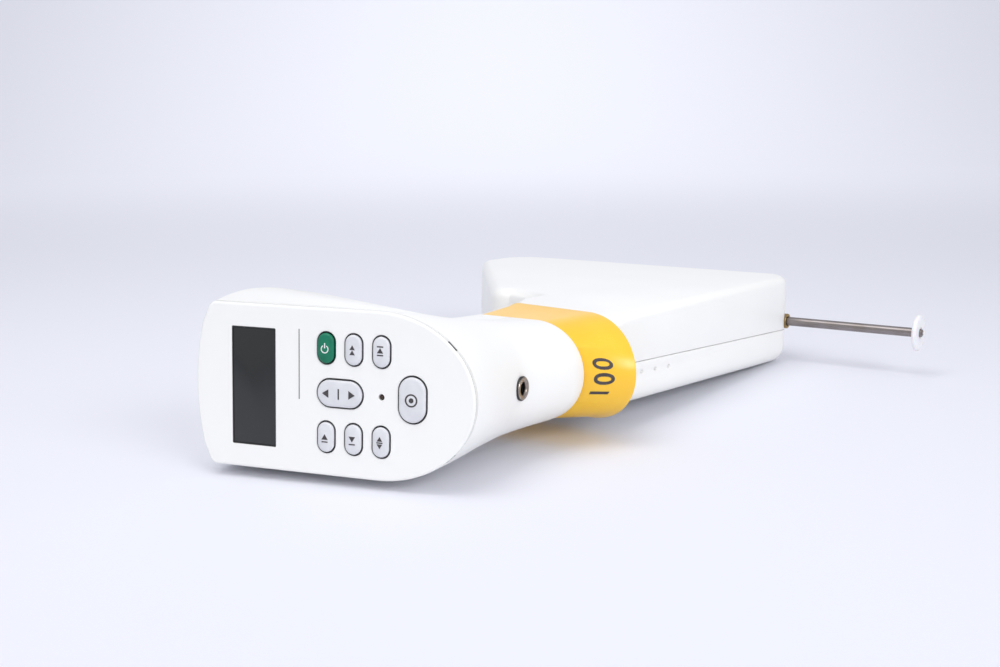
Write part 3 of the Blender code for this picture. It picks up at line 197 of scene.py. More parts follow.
def linear(hex_colour):
    """An sRGB hex colour as the linear one that a shader takes."""
    channels = [int(hex_colour[i:i + 2], 16) / 255 for i in (1, 3, 5)]
    return [c / 12.92 if c <= 0.04045 else ((c + 0.055) / 1.055) ** 2.4 for c in channels] + [1.0]


def add_node(material, kind, settings=(), links=()):
    """Adds a node, sets its inputs and properties, and links its inputs to other nodes."""
    node = material.node_tree.nodes.new(kind)
    for name, value in dict(settings).items():
        if isinstance(name, int) or name in node.inputs:
            node.inputs[name].default_value = value
        else:
            setattr(node, name, value)
    for name, (source, output) in dict(links).items():
        material.node_tree.links.new(source.outputs[output], node.inputs[name])
    return node


def surface(name, colour, roughness, ior=1.5, metallic=0.0, **more):
    """A new material, kept under its name, with its even values on the shader's own sockets."""
    material = FINISHES[name] = bpy.data.materials.new(name)
    material.use_nodes = True
    shader = material.node_tree.nodes["Principled BSDF"]
    shader.inputs["Base Color"].default_value = linear(colour)
    shader.inputs["Roughness"].default_value = roughness
    shader.inputs["IOR"].default_value = ior
    shader.inputs["Metallic"].default_value = metallic
    for socket, value in more.items():
        shader.inputs[socket.replace("_", " ")].default_value = value
    return material, shader


def grain(material, shader, size, height, stretch=(1, 1, 1)):
    """A fine relief, from the size of its grain and its height."""
    place = add_node(material, "ShaderNodeTexCoord")
    turn = add_node(material, "ShaderNodeMapping", {"Scale": stretch}, {"Vector": (place, "Object")})
    noise = add_node(material, "ShaderNodeTexNoise", {"Scale": 1 / size, "Detail": 3.0},
                     {"Vector": (turn, "Vector")})
    bump = add_node(material, "ShaderNodeBump", {"Strength": 1.0, "Distance": height},
                    {"Height": (noise, "Fac")})
    material.node_tree.links.new(bump.outputs["Normal"], shader.inputs["Normal"])


def vary(material, shader, size, pale, dark, low, high):
    """Slow changes of colour and roughness over a surface, as handling and moulding leave."""
    place = add_node(material, "ShaderNodeTexCoord")
    noise = add_node(material, "ShaderNodeTexNoise", {"Scale": 1 / size, "Detail": 4.0},
                     {"Vector": (place, "Object")})
    shade = add_node(material, "ShaderNodeMapRange", {"From Min": 0.3, "From Max": 0.7},
                     {"Value": (noise, "Fac")})
    mix = add_node(material, "ShaderNodeMix",
                   {"data_type": "RGBA", MIX_FIRST: linear(pale), MIX_SECOND: linear(dark)},
                   {MIX_SHARE: (shade, "Result")})
    rough = add_node(material, "ShaderNodeMapRange", {"To Min": low, "To Max": high},
                     {"Value": (noise, "Fac")})
    material.node_tree.links.new(mix.outputs[MIX_RESULT], shader.inputs["Base Color"])
    material.node_tree.links.new(rough.outputs["Result"], shader.inputs["Roughness"])


def make_finish(name, colour, roughness, relief, changes, **more):
    """A material with the relief of its skin and its slow changes."""
    material, shader = surface(name, colour, roughness, **more)
    grain(material, shader, *relief)
    vary(material, shader, *changes)


# Each finish: its colour and roughness, its relief as (size of the grain, height, stretch), and its slow
# changes as (size, pale, dark, smoothest, roughest). Sizes are in metres. Real grain and tool marks are
# 0.05 mm and finer, and are drawn 0.2 to 0.9 mm wide, so that they show.
MOULDED_FINISHES = {
    # Spark-eroded ABS of the covers and shells: a fine even satin, slightly worn where hands hold it
    "moulded_abs": dict(colour="#F3F3F1", roughness=0.38, ior=1.54, relief=(0.00045, 0.000006),
                        changes=(0.035, "#F3F3F1", "#F1F1EF", 0.35, 0.42)),
    # Polished ABS of the control panel: smoother than the covers
    "panel_abs": dict(colour="#F4F4F2", roughness=0.26, ior=1.54, relief=(0.0009, 0.000003),
                      changes=(0.060, "#F4F4F2", "#F3F3F1", 0.255, 0.275)),
    # Glossy polycarbonate of the collar, dyed yellow through and through: a soft gloss with faint waves
    "dyed_polycarbonate": dict(colour="#FAC52B", roughness=0.30, ior=1.58, Coat_Weight=0.15,
                               Coat_Roughness=0.15, relief=(0.0025, 0.000004),
                               changes=(0.018, "#FBC930", "#F8C127", 0.27, 0.34)),
    # Black glass-filled nylon: dark with a faint sheen and a slightly rough skin
    "moulded_nylon": dict(colour="#1B1B1C", roughness=0.40, ior=1.53, relief=(0.0002, 0.000006),
                          changes=(0.003, "#1B1B1C", "#252526", 0.34, 0.5)),
    # White acetal of the knob: a milky resin that lets a little light in
    "moulded_acetal": dict(colour="#EEEFF1", roughness=0.28, ior=1.48, Subsurface_Weight=0.25,
                           Subsurface_Scale=0.002, relief=(0.0006, 0.000004),
                           changes=(0.006, "#F0F1F3", "#E6E7EA", 0.24, 0.36)),
    # Natural polypropylene of the nozzles: pale, waxy and slightly see-through
    "moulded_polypropylene": dict(colour="#DADDD8", roughness=0.34, ior=1.49, Subsurface_Weight=0.3,
                                  Subsurface_Scale=0.002, relief=(0.0005, 0.000004),
                                  changes=(0.006, "#DDE0DB", "#CFD2CD", 0.3, 0.42)),
    # Green solder mask over a glass-fibre board: glossy and a little uneven
    "solder_mask": dict(colour="#1E5B38", roughness=0.35, relief=(0.0012, 0.000010),
                        changes=(0.010, "#1E5B38", "#17492D", 0.3, 0.45)),
    # PVC shrink sleeve of the battery: a taut film with slow ripples
    "shrink_sleeve": dict(colour="#0C7A5C", roughness=0.25, ior=1.54, relief=(0.004, 0.00005),
                          changes=(0.008, "#0C7A5C", "#0A6A50", 0.2, 0.35)),
}
# Metals, which all keep the shader's default IOR
METAL_FINISHES = {
    # Ground stainless steel of the rods and rails: marks that run one way and draw out the highlight
    "ground_steel": dict(colour="#979090", roughness=0.32, Anisotropic=0.4,
                         relief=(0.0005, 0.0000008, (1, 0.05, 1)),
                         changes=(0.006, "#979090", "#8C8481", 0.28, 0.38)),
    # Turned stainless steel of the screws: grey, with a highlight drawn round the turning
    "turned_steel": dict(colour="#9A9491", roughness=0.32, Anisotropic=0.4, relief=(0.0005, 0.0000008),
                         changes=(0.006, "#9A9491", "#8C8481", 0.28, 0.38)),
    # Nickel-plated brass of the socket's lip: warm and fairly bright
    "plated_nickel": dict(colour="#A99F97", roughness=0.24, relief=(0.0004, 0.000002),
                          changes=(0.002, "#B0A69E", "#8D837B", 0.2, 0.36)),
    # Turned brass of the bushing: a warm yellow, finely marked by the tool
    "turned_brass": dict(colour="#B99C62", roughness=0.32, relief=(0.0004, 0.000003),
                         changes=(0.003, "#BFA36A", "#9E8350", 0.26, 0.42)),
    # Drawn aluminium can of the motor: a light grey with marks along its length
    "drawn_aluminium": dict(colour="#A9A6A4", roughness=0.34, relief=(0.0006, 0.000003, (0.2, 1, 1)),
                            changes=(0.008, "#ABA8A6", "#95928F", 0.3, 0.42)),
}
# Moulded silicone of the keys and of the lamp's light pipe, soft and matt and polished a little by
# fingers: colour and worn colour
SILICONES = {
    "grey_silicone": ("#DEDFE3", "#D5D6DB"),
    "green_silicone": ("#0C7A5C", "#0A6B50"),
    "lamp_resin": ("#3E3027", "#2E241E"),
}
# Pad-printed inks, thin matt films that are thinner here and there: colour and thin colour
INKS = {
    "dark_ink": ("#383436", "#4A4647"),
    "white_ink": ("#E4E8E6", "#EDEFED"),
}


def make_display_glass():
    """Glossy window laminated on a dark liquid crystal cell, whose dot rows, 0.6 mm apart, just show."""
    material, shader = surface("display_glass", "#181B1B", 0.16, Coat_Weight=0.3, Coat_Roughness=0.04)
    place = add_node(material, "ShaderNodeTexCoord")
    rows = add_node(material, "ShaderNodeTexWave",
                    {"wave_type": "BANDS", "bands_direction": "Z", "Scale": 500.0},
                    {"Vector": (place, "Object")})
    mix = add_node(material, "ShaderNodeMix",
                   {"data_type": "RGBA", MIX_FIRST: linear("#16191A"), MIX_SECOND: linear("#1A1E1D")},
                   {MIX_SHARE: (rows, "Fac")})
    material.node_tree.links.new(mix.outputs[MIX_RESULT], shader.inputs["Base Color"])


def make_finishes():
    for name, values in MOULDED_FINISHES.items():
        make_finish(name, **values)
    for name, values in METAL_FINISHES.items():
        make_finish(name, metallic=1.0, **values)
    for name, (colour, worn) in SILICONES.items():
        make_finish(name, colour, 0.48, (0.00025, 0.000008), (0.004, colour, worn, 0.42, 0.55), ior=1.41)
    for name, (colour, thin) in INKS.items():
        make_finish(name, colour, 0.55, (0.0002, 0.000004), (0.002, colour, thin, 0.5, 0.62))
    make_display_glass()


# Mesh making

def ring_of(bm, places):
    """A closed ring of edges through the given places, in the same order each run."""
    made = bmesh.ops.create_circle(bm, cap_ends=False, segments=len(places), radius=1.0)
    for vert, place in zip(made["verts"], places):
        vert.co = place
    return list(dict.fromkeys(edge for vert in made["verts"] for edge in vert.link_edges))


def skin(rings, low=True, high=True):
    """A surface over rings of equal length, closed at its ends where asked."""
    bm = bmesh.new()
    loops = [ring_of(bm, ring) for ring in rings]
    for lower, upper in zip(loops, loops[1:]):
        bmesh.ops.bridge_loops(bm, edges=lower + upper)
    for wanted, loop in ((low, loops[0]), (high, loops[-1])):
        if wanted:
            bmesh.ops.edgeloop_fill(bm, edges=loop)
    bmesh.ops.recalc_face_normals(bm, faces=bm.faces)
    return bm


def turned(profile, steps=64, closed=False):
    """A body of revolution about Z, from a profile of (radius, height)."""
    bm = bmesh.new()
    verts = [bm.verts.new((radius, 0, height)) for radius, height in profile]
    edges = [bm.edges.new(pair) for pair in zip(verts, verts[1:])]
    if closed:
        edges.append(bm.edges.new((verts[-1], verts[0])))
    bmesh.ops.spin(bm, geom=verts + edges, cent=(0, 0, 0), axis=(0, 0, 1), dvec=(0, 0, 0),
                   angle=2 * math.pi, steps=steps, use_merge=True, use_duplicate=False)
    bmesh.ops.remove_doubles(bm, verts=bm.verts, dist=SAME_PLACE)
    bmesh.ops.recalc_face_normals(bm, faces=bm.faces)
    return bm


def plug(radius, low, high, steps):
    """A round plug about Z that cuts a hole."""
    return turned([(0, low), (radius, low), (radius, high), (0, high)], steps)


def placed(bm, matrix):
    bmesh.ops.transform(bm, matrix=matrix, verts=bm.verts)
    return bm


def arc(centre, radii, start, end, steps):
    """Points along an elliptical arc, with its angles in degrees."""
    angles = [math.radians(start + (end - start) * i / steps) for i in range(steps + 1)]
    return [(centre[0] + radii[0] * math.cos(a), centre[1] + radii[1] * math.sin(a)) for a in angles]


def disc(radius):
    return arc((0, 0), (radius, radius), 0, 345, 23)


def stadium(size, steps=16):
    """An outline with round ends, its length along the second axis."""
    length, width = size
    radius = width / 2
    straight = (length - width) / 2
    return (arc((0, straight), (radius, radius), 0, 180, steps)
            + arc((0, -straight), (radius, radius), 180, 360, steps))


def rounded_box(size, radius):
    half_a, half_b = size[0] / 2 - radius, size[1] / 2 - radius
    corners = ((-half_a, -half_b, 180), (half_a, -half_b, 270), (half_a, half_b, 0), (-half_a, half_b, 90))
    return [point for a, b, start in corners
            for point in arc((a, b), (radius, radius), start, start + 90, 6)]


def moved(outline, a, b):
    return [(x + a, y + b) for x, y in outline]


def shrink(outline, distance):
    """An outline moved inwards all round. It runs counter-clockwise."""
    result = []
    for i, point in enumerate(outline):
        here = Vector(point)
        before = (here - Vector(outline[i - 1])).normalized()
        after = (Vector(outline[(i + 1) % len(outline)]) - here).normalized()
        normal = Vector((-(before.y + after.y), before.x + after.x)).normalized()
        stretch = max(normal.dot(Vector((-before.y, before.x))), 0.4)
        place = here + normal * distance / stretch
        result.append((place.x, place.y))
    return result


def at_height(outline, height):
    return [Vector((a, b, height)) for a, b in outline]


def slab(outline, low, high, rim=0.0, rim_steps=4, low_rim=0.0):
    """A flat body on an outline, with rounded rims where asked."""
    rings = []
    if low_rim:
        for i in range(rim_steps):
            angle = math.pi / 2 * i / rim_steps
            rings.append(at_height(shrink(outline, low_rim * (1 - math.sin(angle))),
                                   low + low_rim * (1 - math.cos(angle))))
        rings.append(at_height(outline, low + low_rim))
    else:
        rings.append(at_height(outline, low))
    rings.append(at_height(outline, high - rim))
    for i in range(1, rim_steps + 1 if rim else 1):
        angle = math.pi / 2 * i / rim_steps
        rings.append(at_height(shrink(outline, rim * (1 - math.cos(angle))),
                               high - rim * (1 - math.sin(angle))))
    return skin(rings)


def as_object(bm, name="shape"):
    mesh = bpy.data.meshes.new(name)
    bm.to_mesh(mesh)
    bm.free()
    obj = bpy.data.objects.new(name, mesh)
    bpy.context.scene.collection.objects.link(obj)
    return obj


def settled(obj):
    """The mesh of an object with its modifiers applied. The object goes."""
    bpy.context.view_layer.update()
    mesh = bpy.data.meshes.new_from_object(obj.evaluated_get(bpy.context.evaluated_depsgraph_get()))
    bm = bmesh.new()
    bm.from_mesh(mesh)
    bpy.data.meshes.remove(mesh)
    bpy.data.objects.remove(obj, do_unlink=True)
    return bm


def carve(bm, tool, operation="DIFFERENCE"):
    """Takes a tool's shape out of a body, for the openings that cross a curved wall."""
    body = as_object(bm)
    cutter = as_object(tool)
    modifier = body.modifiers.new("cut", "BOOLEAN")
    modifier.operation = operation
    modifier.solver = "EXACT"
    modifier.object = cutter
    result = settled(body)
    bpy.data.objects.remove(cutter, do_unlink=True)
    return result


def walled(bm, thickness):
    """Gives an open skin its wall, on its inner side."""
    body = as_object(bm)
    wall = body.modifiers.new("wall", "SOLIDIFY")
    wall.thickness = thickness
    wall.offset = -1
    wall.use_even_offset = True
    return settled(body)


def join(bm, other):
    """Puts the faces of another mesh beside those of this one."""
    mesh = bpy.data.meshes.new("joined")
    other.to_mesh(mesh)
    other.free()
    bm.from_mesh(mesh)
    bpy.data.meshes.remove(mesh)
    return bm


def box(low, high):
    bm = bmesh.new()
    size = [b - a for a, b in zip(low, high)]
    middle = [(a + b) / 2 for a, b in zip(low, high)]
    bmesh.ops.create_cube(bm, size=1.0, matrix=Matrix.Translation(middle) @ Matrix.Diagonal((*size, 1)))
    return bm


def soften(bm, chosen, width, segments=2):
    """Rounds the edges that a test picks."""
    edges = [edge for edge in bm.edges if len(edge.link_faces) == 2 and chosen(edge)]
    bmesh.ops.bevel(bm, geom=edges, offset=width, segments=segments, profile=0.5, affect="EDGES",
                    material=-1, clamp_overlap=True)
    return bm


def sharper_than(degrees):
    return lambda edge: edge.calc_face_angle(0) > math.radians(degrees)


def piece(name, bm, finish, body, slot, *stands_for, place=LYING, sharp=40):
    """A finished piece of the pipette, put in place with its finish and its body."""
    obj = as_object(placed(bm, place), name)
    obj.data.materials.append(FINISHES[finish])
    obj.data.shade_smooth()
    obj.data.set_sharp_from_angle(angle=math.radians(sharp))
    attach(obj, body)
    if stands_for:
        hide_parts(*stands_for)
    return obj


# Head and grip

def smooth_step(low, high, share):
    share = min(max(share, 0.0), 1.0)
    return low + (high - low) * share * share * (3 - 2 * share)


def shield(reach, tail, half_front, half_back, nose, corner, crown):
    """The rounded shield outline of the head and grip, as (along, across) points."""
    points = arc((reach - nose, 0), (nose, half_front), -90, 90, 56)
    edge = -tail + crown
    points += arc((edge + corner, half_back - corner), (corner, corner), 90, 170, 8)
    across = half_back - corner
    points += [(-tail + crown * (z / half_back) ** 2, z) for z in [across * (5 - i) / 6 for i in range(11)]]
    points += arc((edge + corner, corner - half_back), (corner, corner), 190, 270, 8)
    return points


def panel_outline(inset=0.0):
    return shield(PANEL_REACH - inset, PANEL_TAIL - inset, PANEL_HALF - inset, PANEL_HALF - inset,
                  PANEL_NOSE - inset, PANEL_CORNER, PANEL_CROWN)


# Stations down the grip: share of its length at the front, share of the head's extra width
STATIONS = ((0.0, 0.80), (0.07, 0.90), (0.13, 0.98), (0.19, 1.0), (0.235, 0.94), (0.28, 0.84),
            (0.34, 0.66), (0.42, 0.45), (0.56, 0.17), (0.76, 0.03), (0.92, 0.0), (1.0, 0.0))


def front_line(x, start):
    """How far the front of the grip stands out at a place along it."""
    if x < WAIST_X:
        return -smooth_step(-start.y, GRIP_WAIST, (x - start.x) / (WAIST_X - start.x))
    return -smooth_step(GRIP_WAIST, GRIP_FRONT, (x - WAIST_X) / (COLLAR_START - 0.001 - WAIST_X))


def back_line():
    """The back of the head, its overhang and the back of the grip, from the panel down."""
    head = [panel_point(-PANEL_TAIL, CASE_DEPTH),
            panel_point(-PANEL_TAIL - 0.0009, HEAD_DEPTH * 0.47),
            panel_point(-PANEL_TAIL + 0.0005, HEAD_DEPTH * 0.80),
            panel_point(-PANEL_TAIL + 0.0065, HEAD_DEPTH * 0.98),
            panel_point(-PANEL_TAIL + 0.0165, HEAD_DEPTH + 0.0005),
            panel_point(-PANEL_TAIL + 0.0265, HEAD_DEPTH + 0.0020)]
    foot = head[-1].x
    length = GRIP_END - foot
    grip = [Vector((foot + length * share, GRIP_BACK + rise))
            for share, rise in ((0.065, 0.0100), (0.19, 0.0026), (0.42, 0.0004), (0.68, 0.0), (0.91, 0.0),
                                (1.0, 0.0))]
    return head + grip


def grip_stations():
    """The rings of the head and grip at the stations that the solids use."""
    start = panel_point(PANEL_REACH, CASE_DEPTH)
    rings = []
    for (share, extra), back in zip(STATIONS, back_line()):
        x = start.x + (GRIP_END - start.x) * share
        front = Vector((x, front_line(x, start)))
        along = front - back
        length = along.length
        along.normalize()
        half_front = GRIP_HALF + (PANEL_HALF - GRIP_HALF) * (1 - share) ** 1.6
        half_back = GRIP_HALF + (PANEL_HALF + HEAD_FLARE - GRIP_HALF) * extra
        settle = min(share / 0.5, 1.0)
        nose = PANEL_NOSE + (GRIP_NOSE - PANEL_NOSE) * settle
        corner = PANEL_CORNER + (GRIP_CORNER - PANEL_CORNER) * settle
        crown = PANEL_CROWN + (GRIP_CROWN - PANEL_CROWN) * settle
        outline = shield(length, 0.0, half_front, half_back, nose, corner, crown)
        rings.append([Vector((back.x + along.x * a, back.y + along.y * a, z)) for a, z in outline])
    return rings


def flowing(rings, steps):
    """Rings put between the given ones, on smooth curves through them."""
    result = []
    last = len(rings) - 1
    for i in range(last):
        before, here, there, after = (rings[max(i - 1, 0)], rings[i], rings[i + 1], rings[min(i + 2, last)])
        for step in range(steps):
            t = step / steps
            weights = (-0.5 * t + t * t - 0.5 * t ** 3, 1 - 2.5 * t * t + 1.5 * t ** 3,
                       0.5 * t + 2 * t * t - 1.5 * t ** 3, -0.5 * t * t + 0.5 * t ** 3)
            result.append([sum((weight * point for weight, point in zip(weights, points)), Vector())
                           for points in zip(before, here, there, after)])
    return result + [rings[-1]]


def cover(rings, keep_front):
    """One of the two covers: the head's skin up to the seam, with its wall."""
    bm = skin(rings, low=False, high=False)
    normal = (0, 1, 0) if keep_front else (0, -1, 0)
    seam = COVER_SEAM_Y - GAP / 2 if keep_front else COVER_SEAM_Y + GAP / 2
    bmesh.ops.bisect_plane(bm, geom=bm.verts[:] + bm.edges[:] + bm.faces[:], dist=SAME_PLACE,
                           plane_co=(0, seam, 0), plane_no=normal, clear_outer=True)
    return walled(bm, WALL)


def jack_frame():
    """The socket's frame on the front of the grip, its third axis pointing outwards."""
    start = panel_point(PANEL_REACH, CASE_DEPTH)
    step = 0.001
    rise = (front_line(JACK_X + step, start) - front_line(JACK_X - step, start)) / (2 * step)
    outwards = Vector((rise, -1, 0)).normalized()
    across = Vector((0, 0, 1))
    axes = Matrix((across.cross(outwards), across, outwards)).transposed().to_4x4()
    return Matrix.Translation((JACK_X, front_line(JACK_X, start), 0)) @ axes


def snap_slots(spare):
    """Two short slots in the panel's joint, where its snaps are let go. With no spare they are the dark fillers
    that paint the shade inside the slots.
    """
    deep, shallow = 0.0012, 0.0001
    half_length, half_width = 0.0019 + spare, 0.0005 + spare
    slots = bmesh.new()
    for angle in (-41, 41):
        a, b = arc((PANEL_REACH - PANEL_NOSE, 0), (PANEL_NOSE, PANEL_HALF), angle, angle, 1)[0]
        lean = math.atan2(math.sin(math.radians(angle)) / PANEL_HALF,
                          math.cos(math.radians(angle)) / PANEL_NOSE)
        slot = box((-deep, -half_length, -half_width), (10 * spare - shallow, half_length, half_width))
        turn = Matrix.Translation((a, b, PANEL_JOINT)) @ Matrix.Rotation(lean, 4, "Z")
        join(slots, placed(slot, turn))
    return slots


def joint_band(outer, inner):
    """A thin band round the panel's joint, between two insets of its outline."""
    reach = 0.002
    band = slab(panel_outline(outer), PANEL_JOINT - JOINT_HALF, PANEL_JOINT + JOINT_HALF)
    return carve(band, slab(panel_outline(inner), PANEL_JOINT - reach, PANEL_JOINT + reach))


def make_covers():
    """The two covers of the head and grip. Gives back the socket's frame."""
    rings = flowing(grip_stations(), 5)
    place = jack_frame()
    front = carve(cover(rings, True), placed(plug(JACK_RADIUS - JACK_STEP, -0.006, 0.006, 48), place))
    half_length, half_width = TRIGGER_SIZE[0] / 2 + GAP, TRIGGER_SIZE[1] / 2 + GAP
    inside, outside = GRIP_BACK - 0.008, GRIP_BACK + 0.012
    track_start, track_end, track_half = GRIP_END - 0.0213, GRIP_END - 0.0047, 0.0025
    openings = box((TRIGGER_X - half_length, inside, -half_width),
                   (TRIGGER_X + half_length, outside, half_width))
    join(openings, box((track_start, inside, -track_half), (track_end, outside, track_half)))
    rear = carve(cover(rings, False), openings)
    for name, bm in (("front_cover", front), ("rear_cover", rear)):
        soften(bm, sharper_than(50), EDGE_ROUNDING)
        piece(name + "_skin", bm, "moulded_abs", "housing", "white_housing", name)
    return place


def keep_flat(obj):
    """Keeps the panel's flat face from being shaded into the roundings round it."""
    outwards = PANEL.to_3x3() @ Vector((0, 0, 1))
    straight_out = 0.99999
    flat = {}
    for polygon in obj.data.polygons:
        for key in polygon.edge_keys:
            flat.setdefault(key, []).append(polygon.normal.dot(outwards) > straight_out)
    for edge in obj.data.edges:
        if len(set(flat[edge.key])) == 2:
            edge.use_edge_sharp = True


def make_panel():
    """The plate with its openings, the dark line of its joint, dark fillers in its snap slots as painted shade,
    and dark sleeves in the key openings as painted shade in the gaps round the keys.
    """
    plate_inset, rim, joint_inset, joint_depth = 0.00007, 0.0008, 0.00015, 0.0006
    openings = bmesh.new()
    cuts = [shrink(outline, -KEY_GAP) for outline in key_outlines()]
    for outline in cuts + [display_outline(0, 0.0004), disc(LAMP_RADIUS)]:
        join(openings, slab(outline, -CUT_REACH, CUT_REACH))
    plate = slab(panel_outline(plate_inset), -PANEL_THICKNESS, PLATE_TOP, rim, 6)
    for tool in (openings, joint_band(-0.0010, joint_depth), snap_slots(0.00005)):
        plate = carve(plate, tool)
    # The dark band of the joint, with dark fillers in the snap slots that are painted shade in those slots
    joint = join(joint_band(joint_inset, joint_depth), snap_slots(0.0))
    piece("panel_joint_and_slot_shade", joint, "moulded_nylon", "housing", "panel", place=PANEL)
    soften(plate, lambda edge: edge.calc_face_angle(0) > math.radians(60)
           and all(abs(vert.co.z - PLATE_TOP) < 0.00002 for vert in edge.verts), EDGE_ROUNDING)
    keep_flat(piece("panel_plate", plate, "panel_abs", "housing", "panel", "head_panel", place=PANEL,
                    sharp=30))
    # Dark sleeves in the key openings: painted shade in the gaps round the keys, not a part of the pipette
    shade_liners = bmesh.new()
    for outline in key_outlines():
        shade_liner = slab(shrink(outline, SHADE_LINER_GAP - KEY_GAP), -PANEL_THICKNESS, -0.00035)
        hole = slab(shrink(outline, SHADE_LINER_GAP + SHADE_LINER_WALL - KEY_GAP), -CUT_REACH, CUT_REACH)
        join(shade_liners, carve(shade_liner, hole))
    piece("key_gap_shade_liners", shade_liners, "moulded_nylon", "housing", "panel", place=PANEL)


def key_outlines():
    """The outlines of all the keys on the panel, counter-clockwise."""
    outlines = [moved(stadium(KEY_SIZE), reach, across) for _, reach, across in small_keys()]
    outlines.append([(VOLUME_KEY_CENTRE - b, a) for a, b in stadium(VOLUME_KEY_SIZE)])
    outlines.append(moved(stadium(ENTER_KEY_SIZE), ENTER_KEY_CENTRE, 0))
    return outlines


def small_keys():
    """Names and places of the six small keys."""
    for i, name in enumerate(("power", "speed", "purge", "fill", "dispense", "mix")):
        yield name, (i % 3 - 2) * KEY_PITCH, KEY_ROW if i < 3 else -KEY_ROW


def key_seats():
    """Name, size and frame on the panel of every key."""
    for name, reach, across in small_keys():
        yield name, KEY_SIZE, Matrix.Translation((reach, across, 0))
    yield "enter", ENTER_KEY_SIZE, Matrix.Translation((ENTER_KEY_CENTRE, 0, 0))
    centre = Matrix.Translation((VOLUME_KEY_CENTRE, 0, 0))
    yield "volume", VOLUME_KEY_SIZE, centre @ Matrix.Rotation(math.pi / 2, 4, "Z")


def display_outline(extra, corner):
    """An outline round the display, longer and wider than it by the given extra."""
    size = (DISPLAY_LENGTH + extra, DISPLAY_WIDTH + extra)
    return moved(rounded_box(size, corner), DISPLAY_CENTRE, 0)


def key_body(outline):
    """A key with rounded shoulders and a slightly domed top, from its root upwards."""
    stem = shrink(outline, 0.0002)
    rings = [at_height(stem, KEY_ROOT), at_height(stem, -0.0006)]
    crown, shoulder = 0.00025, 0.0009
    top = KEY_PROUD - crown
    for i in range(6):
        angle = math.pi / 2 * i / 5
        rings.append(at_height(shrink(outline, shoulder * (1 - math.cos(angle))),
                               top - shoulder * (1 - math.sin(angle))))
    inner = Vector((sum(p[0] for p in outline), sum(p[1] for p in outline))) / len(outline)
    base = shrink(outline, shoulder)
    for share in (0.85, 0.6, 0.35):
        rings.append([Vector((inner.x + (a - inner.x) * share, inner.y + (b - inner.y) * share,
                              top + crown * (1 - share ** 2))) for a, b in base])
    return skin(rings)


def printed(bm):
    """Gives a flat printed shape the thickness of its film."""
    made = bmesh.ops.extrude_face_region(bm, geom=bm.faces[:])
    verts = [v for v in made["geom"] if isinstance(v, bmesh.types.BMVert)]
    bmesh.ops.translate(bm, verts=verts, vec=(0, 0, PRINT_FILM))
    bmesh.ops.recalc_face_normals(bm, faces=bm.faces)
    return bm


def flat_shape(points):
    """A thin printed shape, from its corners."""
    bm = bmesh.new()
    bm.faces.new([bm.verts.new((a, b, 0)) for a, b in points])
    return printed(bm)


def triangle(b, size, direction):
    """An arrow head at a height on the key's middle line, which points up (1) or down (-1)."""
    half, rise = size * 0.62, direction * size * 0.5
    return flat_shape([(-half, b - rise), (half, b - rise), (0, b + rise)])


def stroke(a, b, width, height):
    left, right, bottom, top = a - width / 2, a + width / 2, b - height / 2, b + height / 2
    return flat_shape([(left, bottom), (right, bottom), (right, top), (left, top)])


def sign_bar(height):
    """The short bar of a sign, at a height on the key's middle line."""
    return stroke(0, height, 0.0021, 0.0004)


def hoop(b, radius, width, start=0, end=360):
    """A printed ring or part of one, at a height on the key's middle line."""
    bm = bmesh.new()
    steps = 28
    outer = arc((0, b), (radius, radius), start, end, steps)
    inner = arc((0, b), (radius - width, radius - width), start, end, steps)
    for i in range(steps):
        corners = [outer[i], outer[i + 1], inner[i + 1], inner[i]]
        bm.faces.new([bm.verts.new((x, y, 0)) for x, y in corners])
    bmesh.ops.remove_doubles(bm, verts=bm.verts, dist=2 * SAME_PLACE)
    return printed(bm)


def together(parts):
    bm = bmesh.new()
    for part in parts:
        join(bm, part)
    return bm


def key_marks():
    """Plain signs for the keys, drawn about each key's middle."""
    return {
        "power": [hoop(-0.0002, 0.00135, 0.00032, 120, 420), stroke(0, 0.0009, 0.00036, 0.0017)],
        "speed": [triangle(0.0009, 0.0015, 1), triangle(-0.0007, 0.0015, 1)],
        "purge": [triangle(0.0006, 0.0017, 1), sign_bar(-0.0009), sign_bar(0.0018)],
        "fill": [triangle(0.0002, 0.0018, 1), sign_bar(-0.0014)],
        "dispense": [triangle(0.0002, 0.0018, -1), sign_bar(-0.0014)],
        "mix": [triangle(0.0012, 0.0015, 1), triangle(-0.0012, 0.0015, -1), sign_bar(0)],
        "enter": [hoop(0, 0.0021, 0.0005), flat_shape(disc(0.0008))],
        "volume": [triangle(0.0046, 0.0022, 1), triangle(-0.0046, 0.0022, -1), stroke(0, 0, 0.0034, 0.0005)],
    }


def make_keys():
    marks = key_marks()
    for name, size, seat in key_seats():
        key = "key_" + name
        cap, ink, slot = "grey_silicone", "dark_ink", "keys"
        if name == "power":
            cap, ink, slot = "green_silicone", "white_ink", "power_key"
        place = PANEL @ seat
        raised = place @ Matrix.Translation((0, 0, KEY_PROUD - PRINT_SINK))
        piece(key + "_cap", key_body(stadium(size)), cap, key, slot, key, place=place)
        piece(key + "_sign", together(marks[name]), ink, key, slot, place=raised)


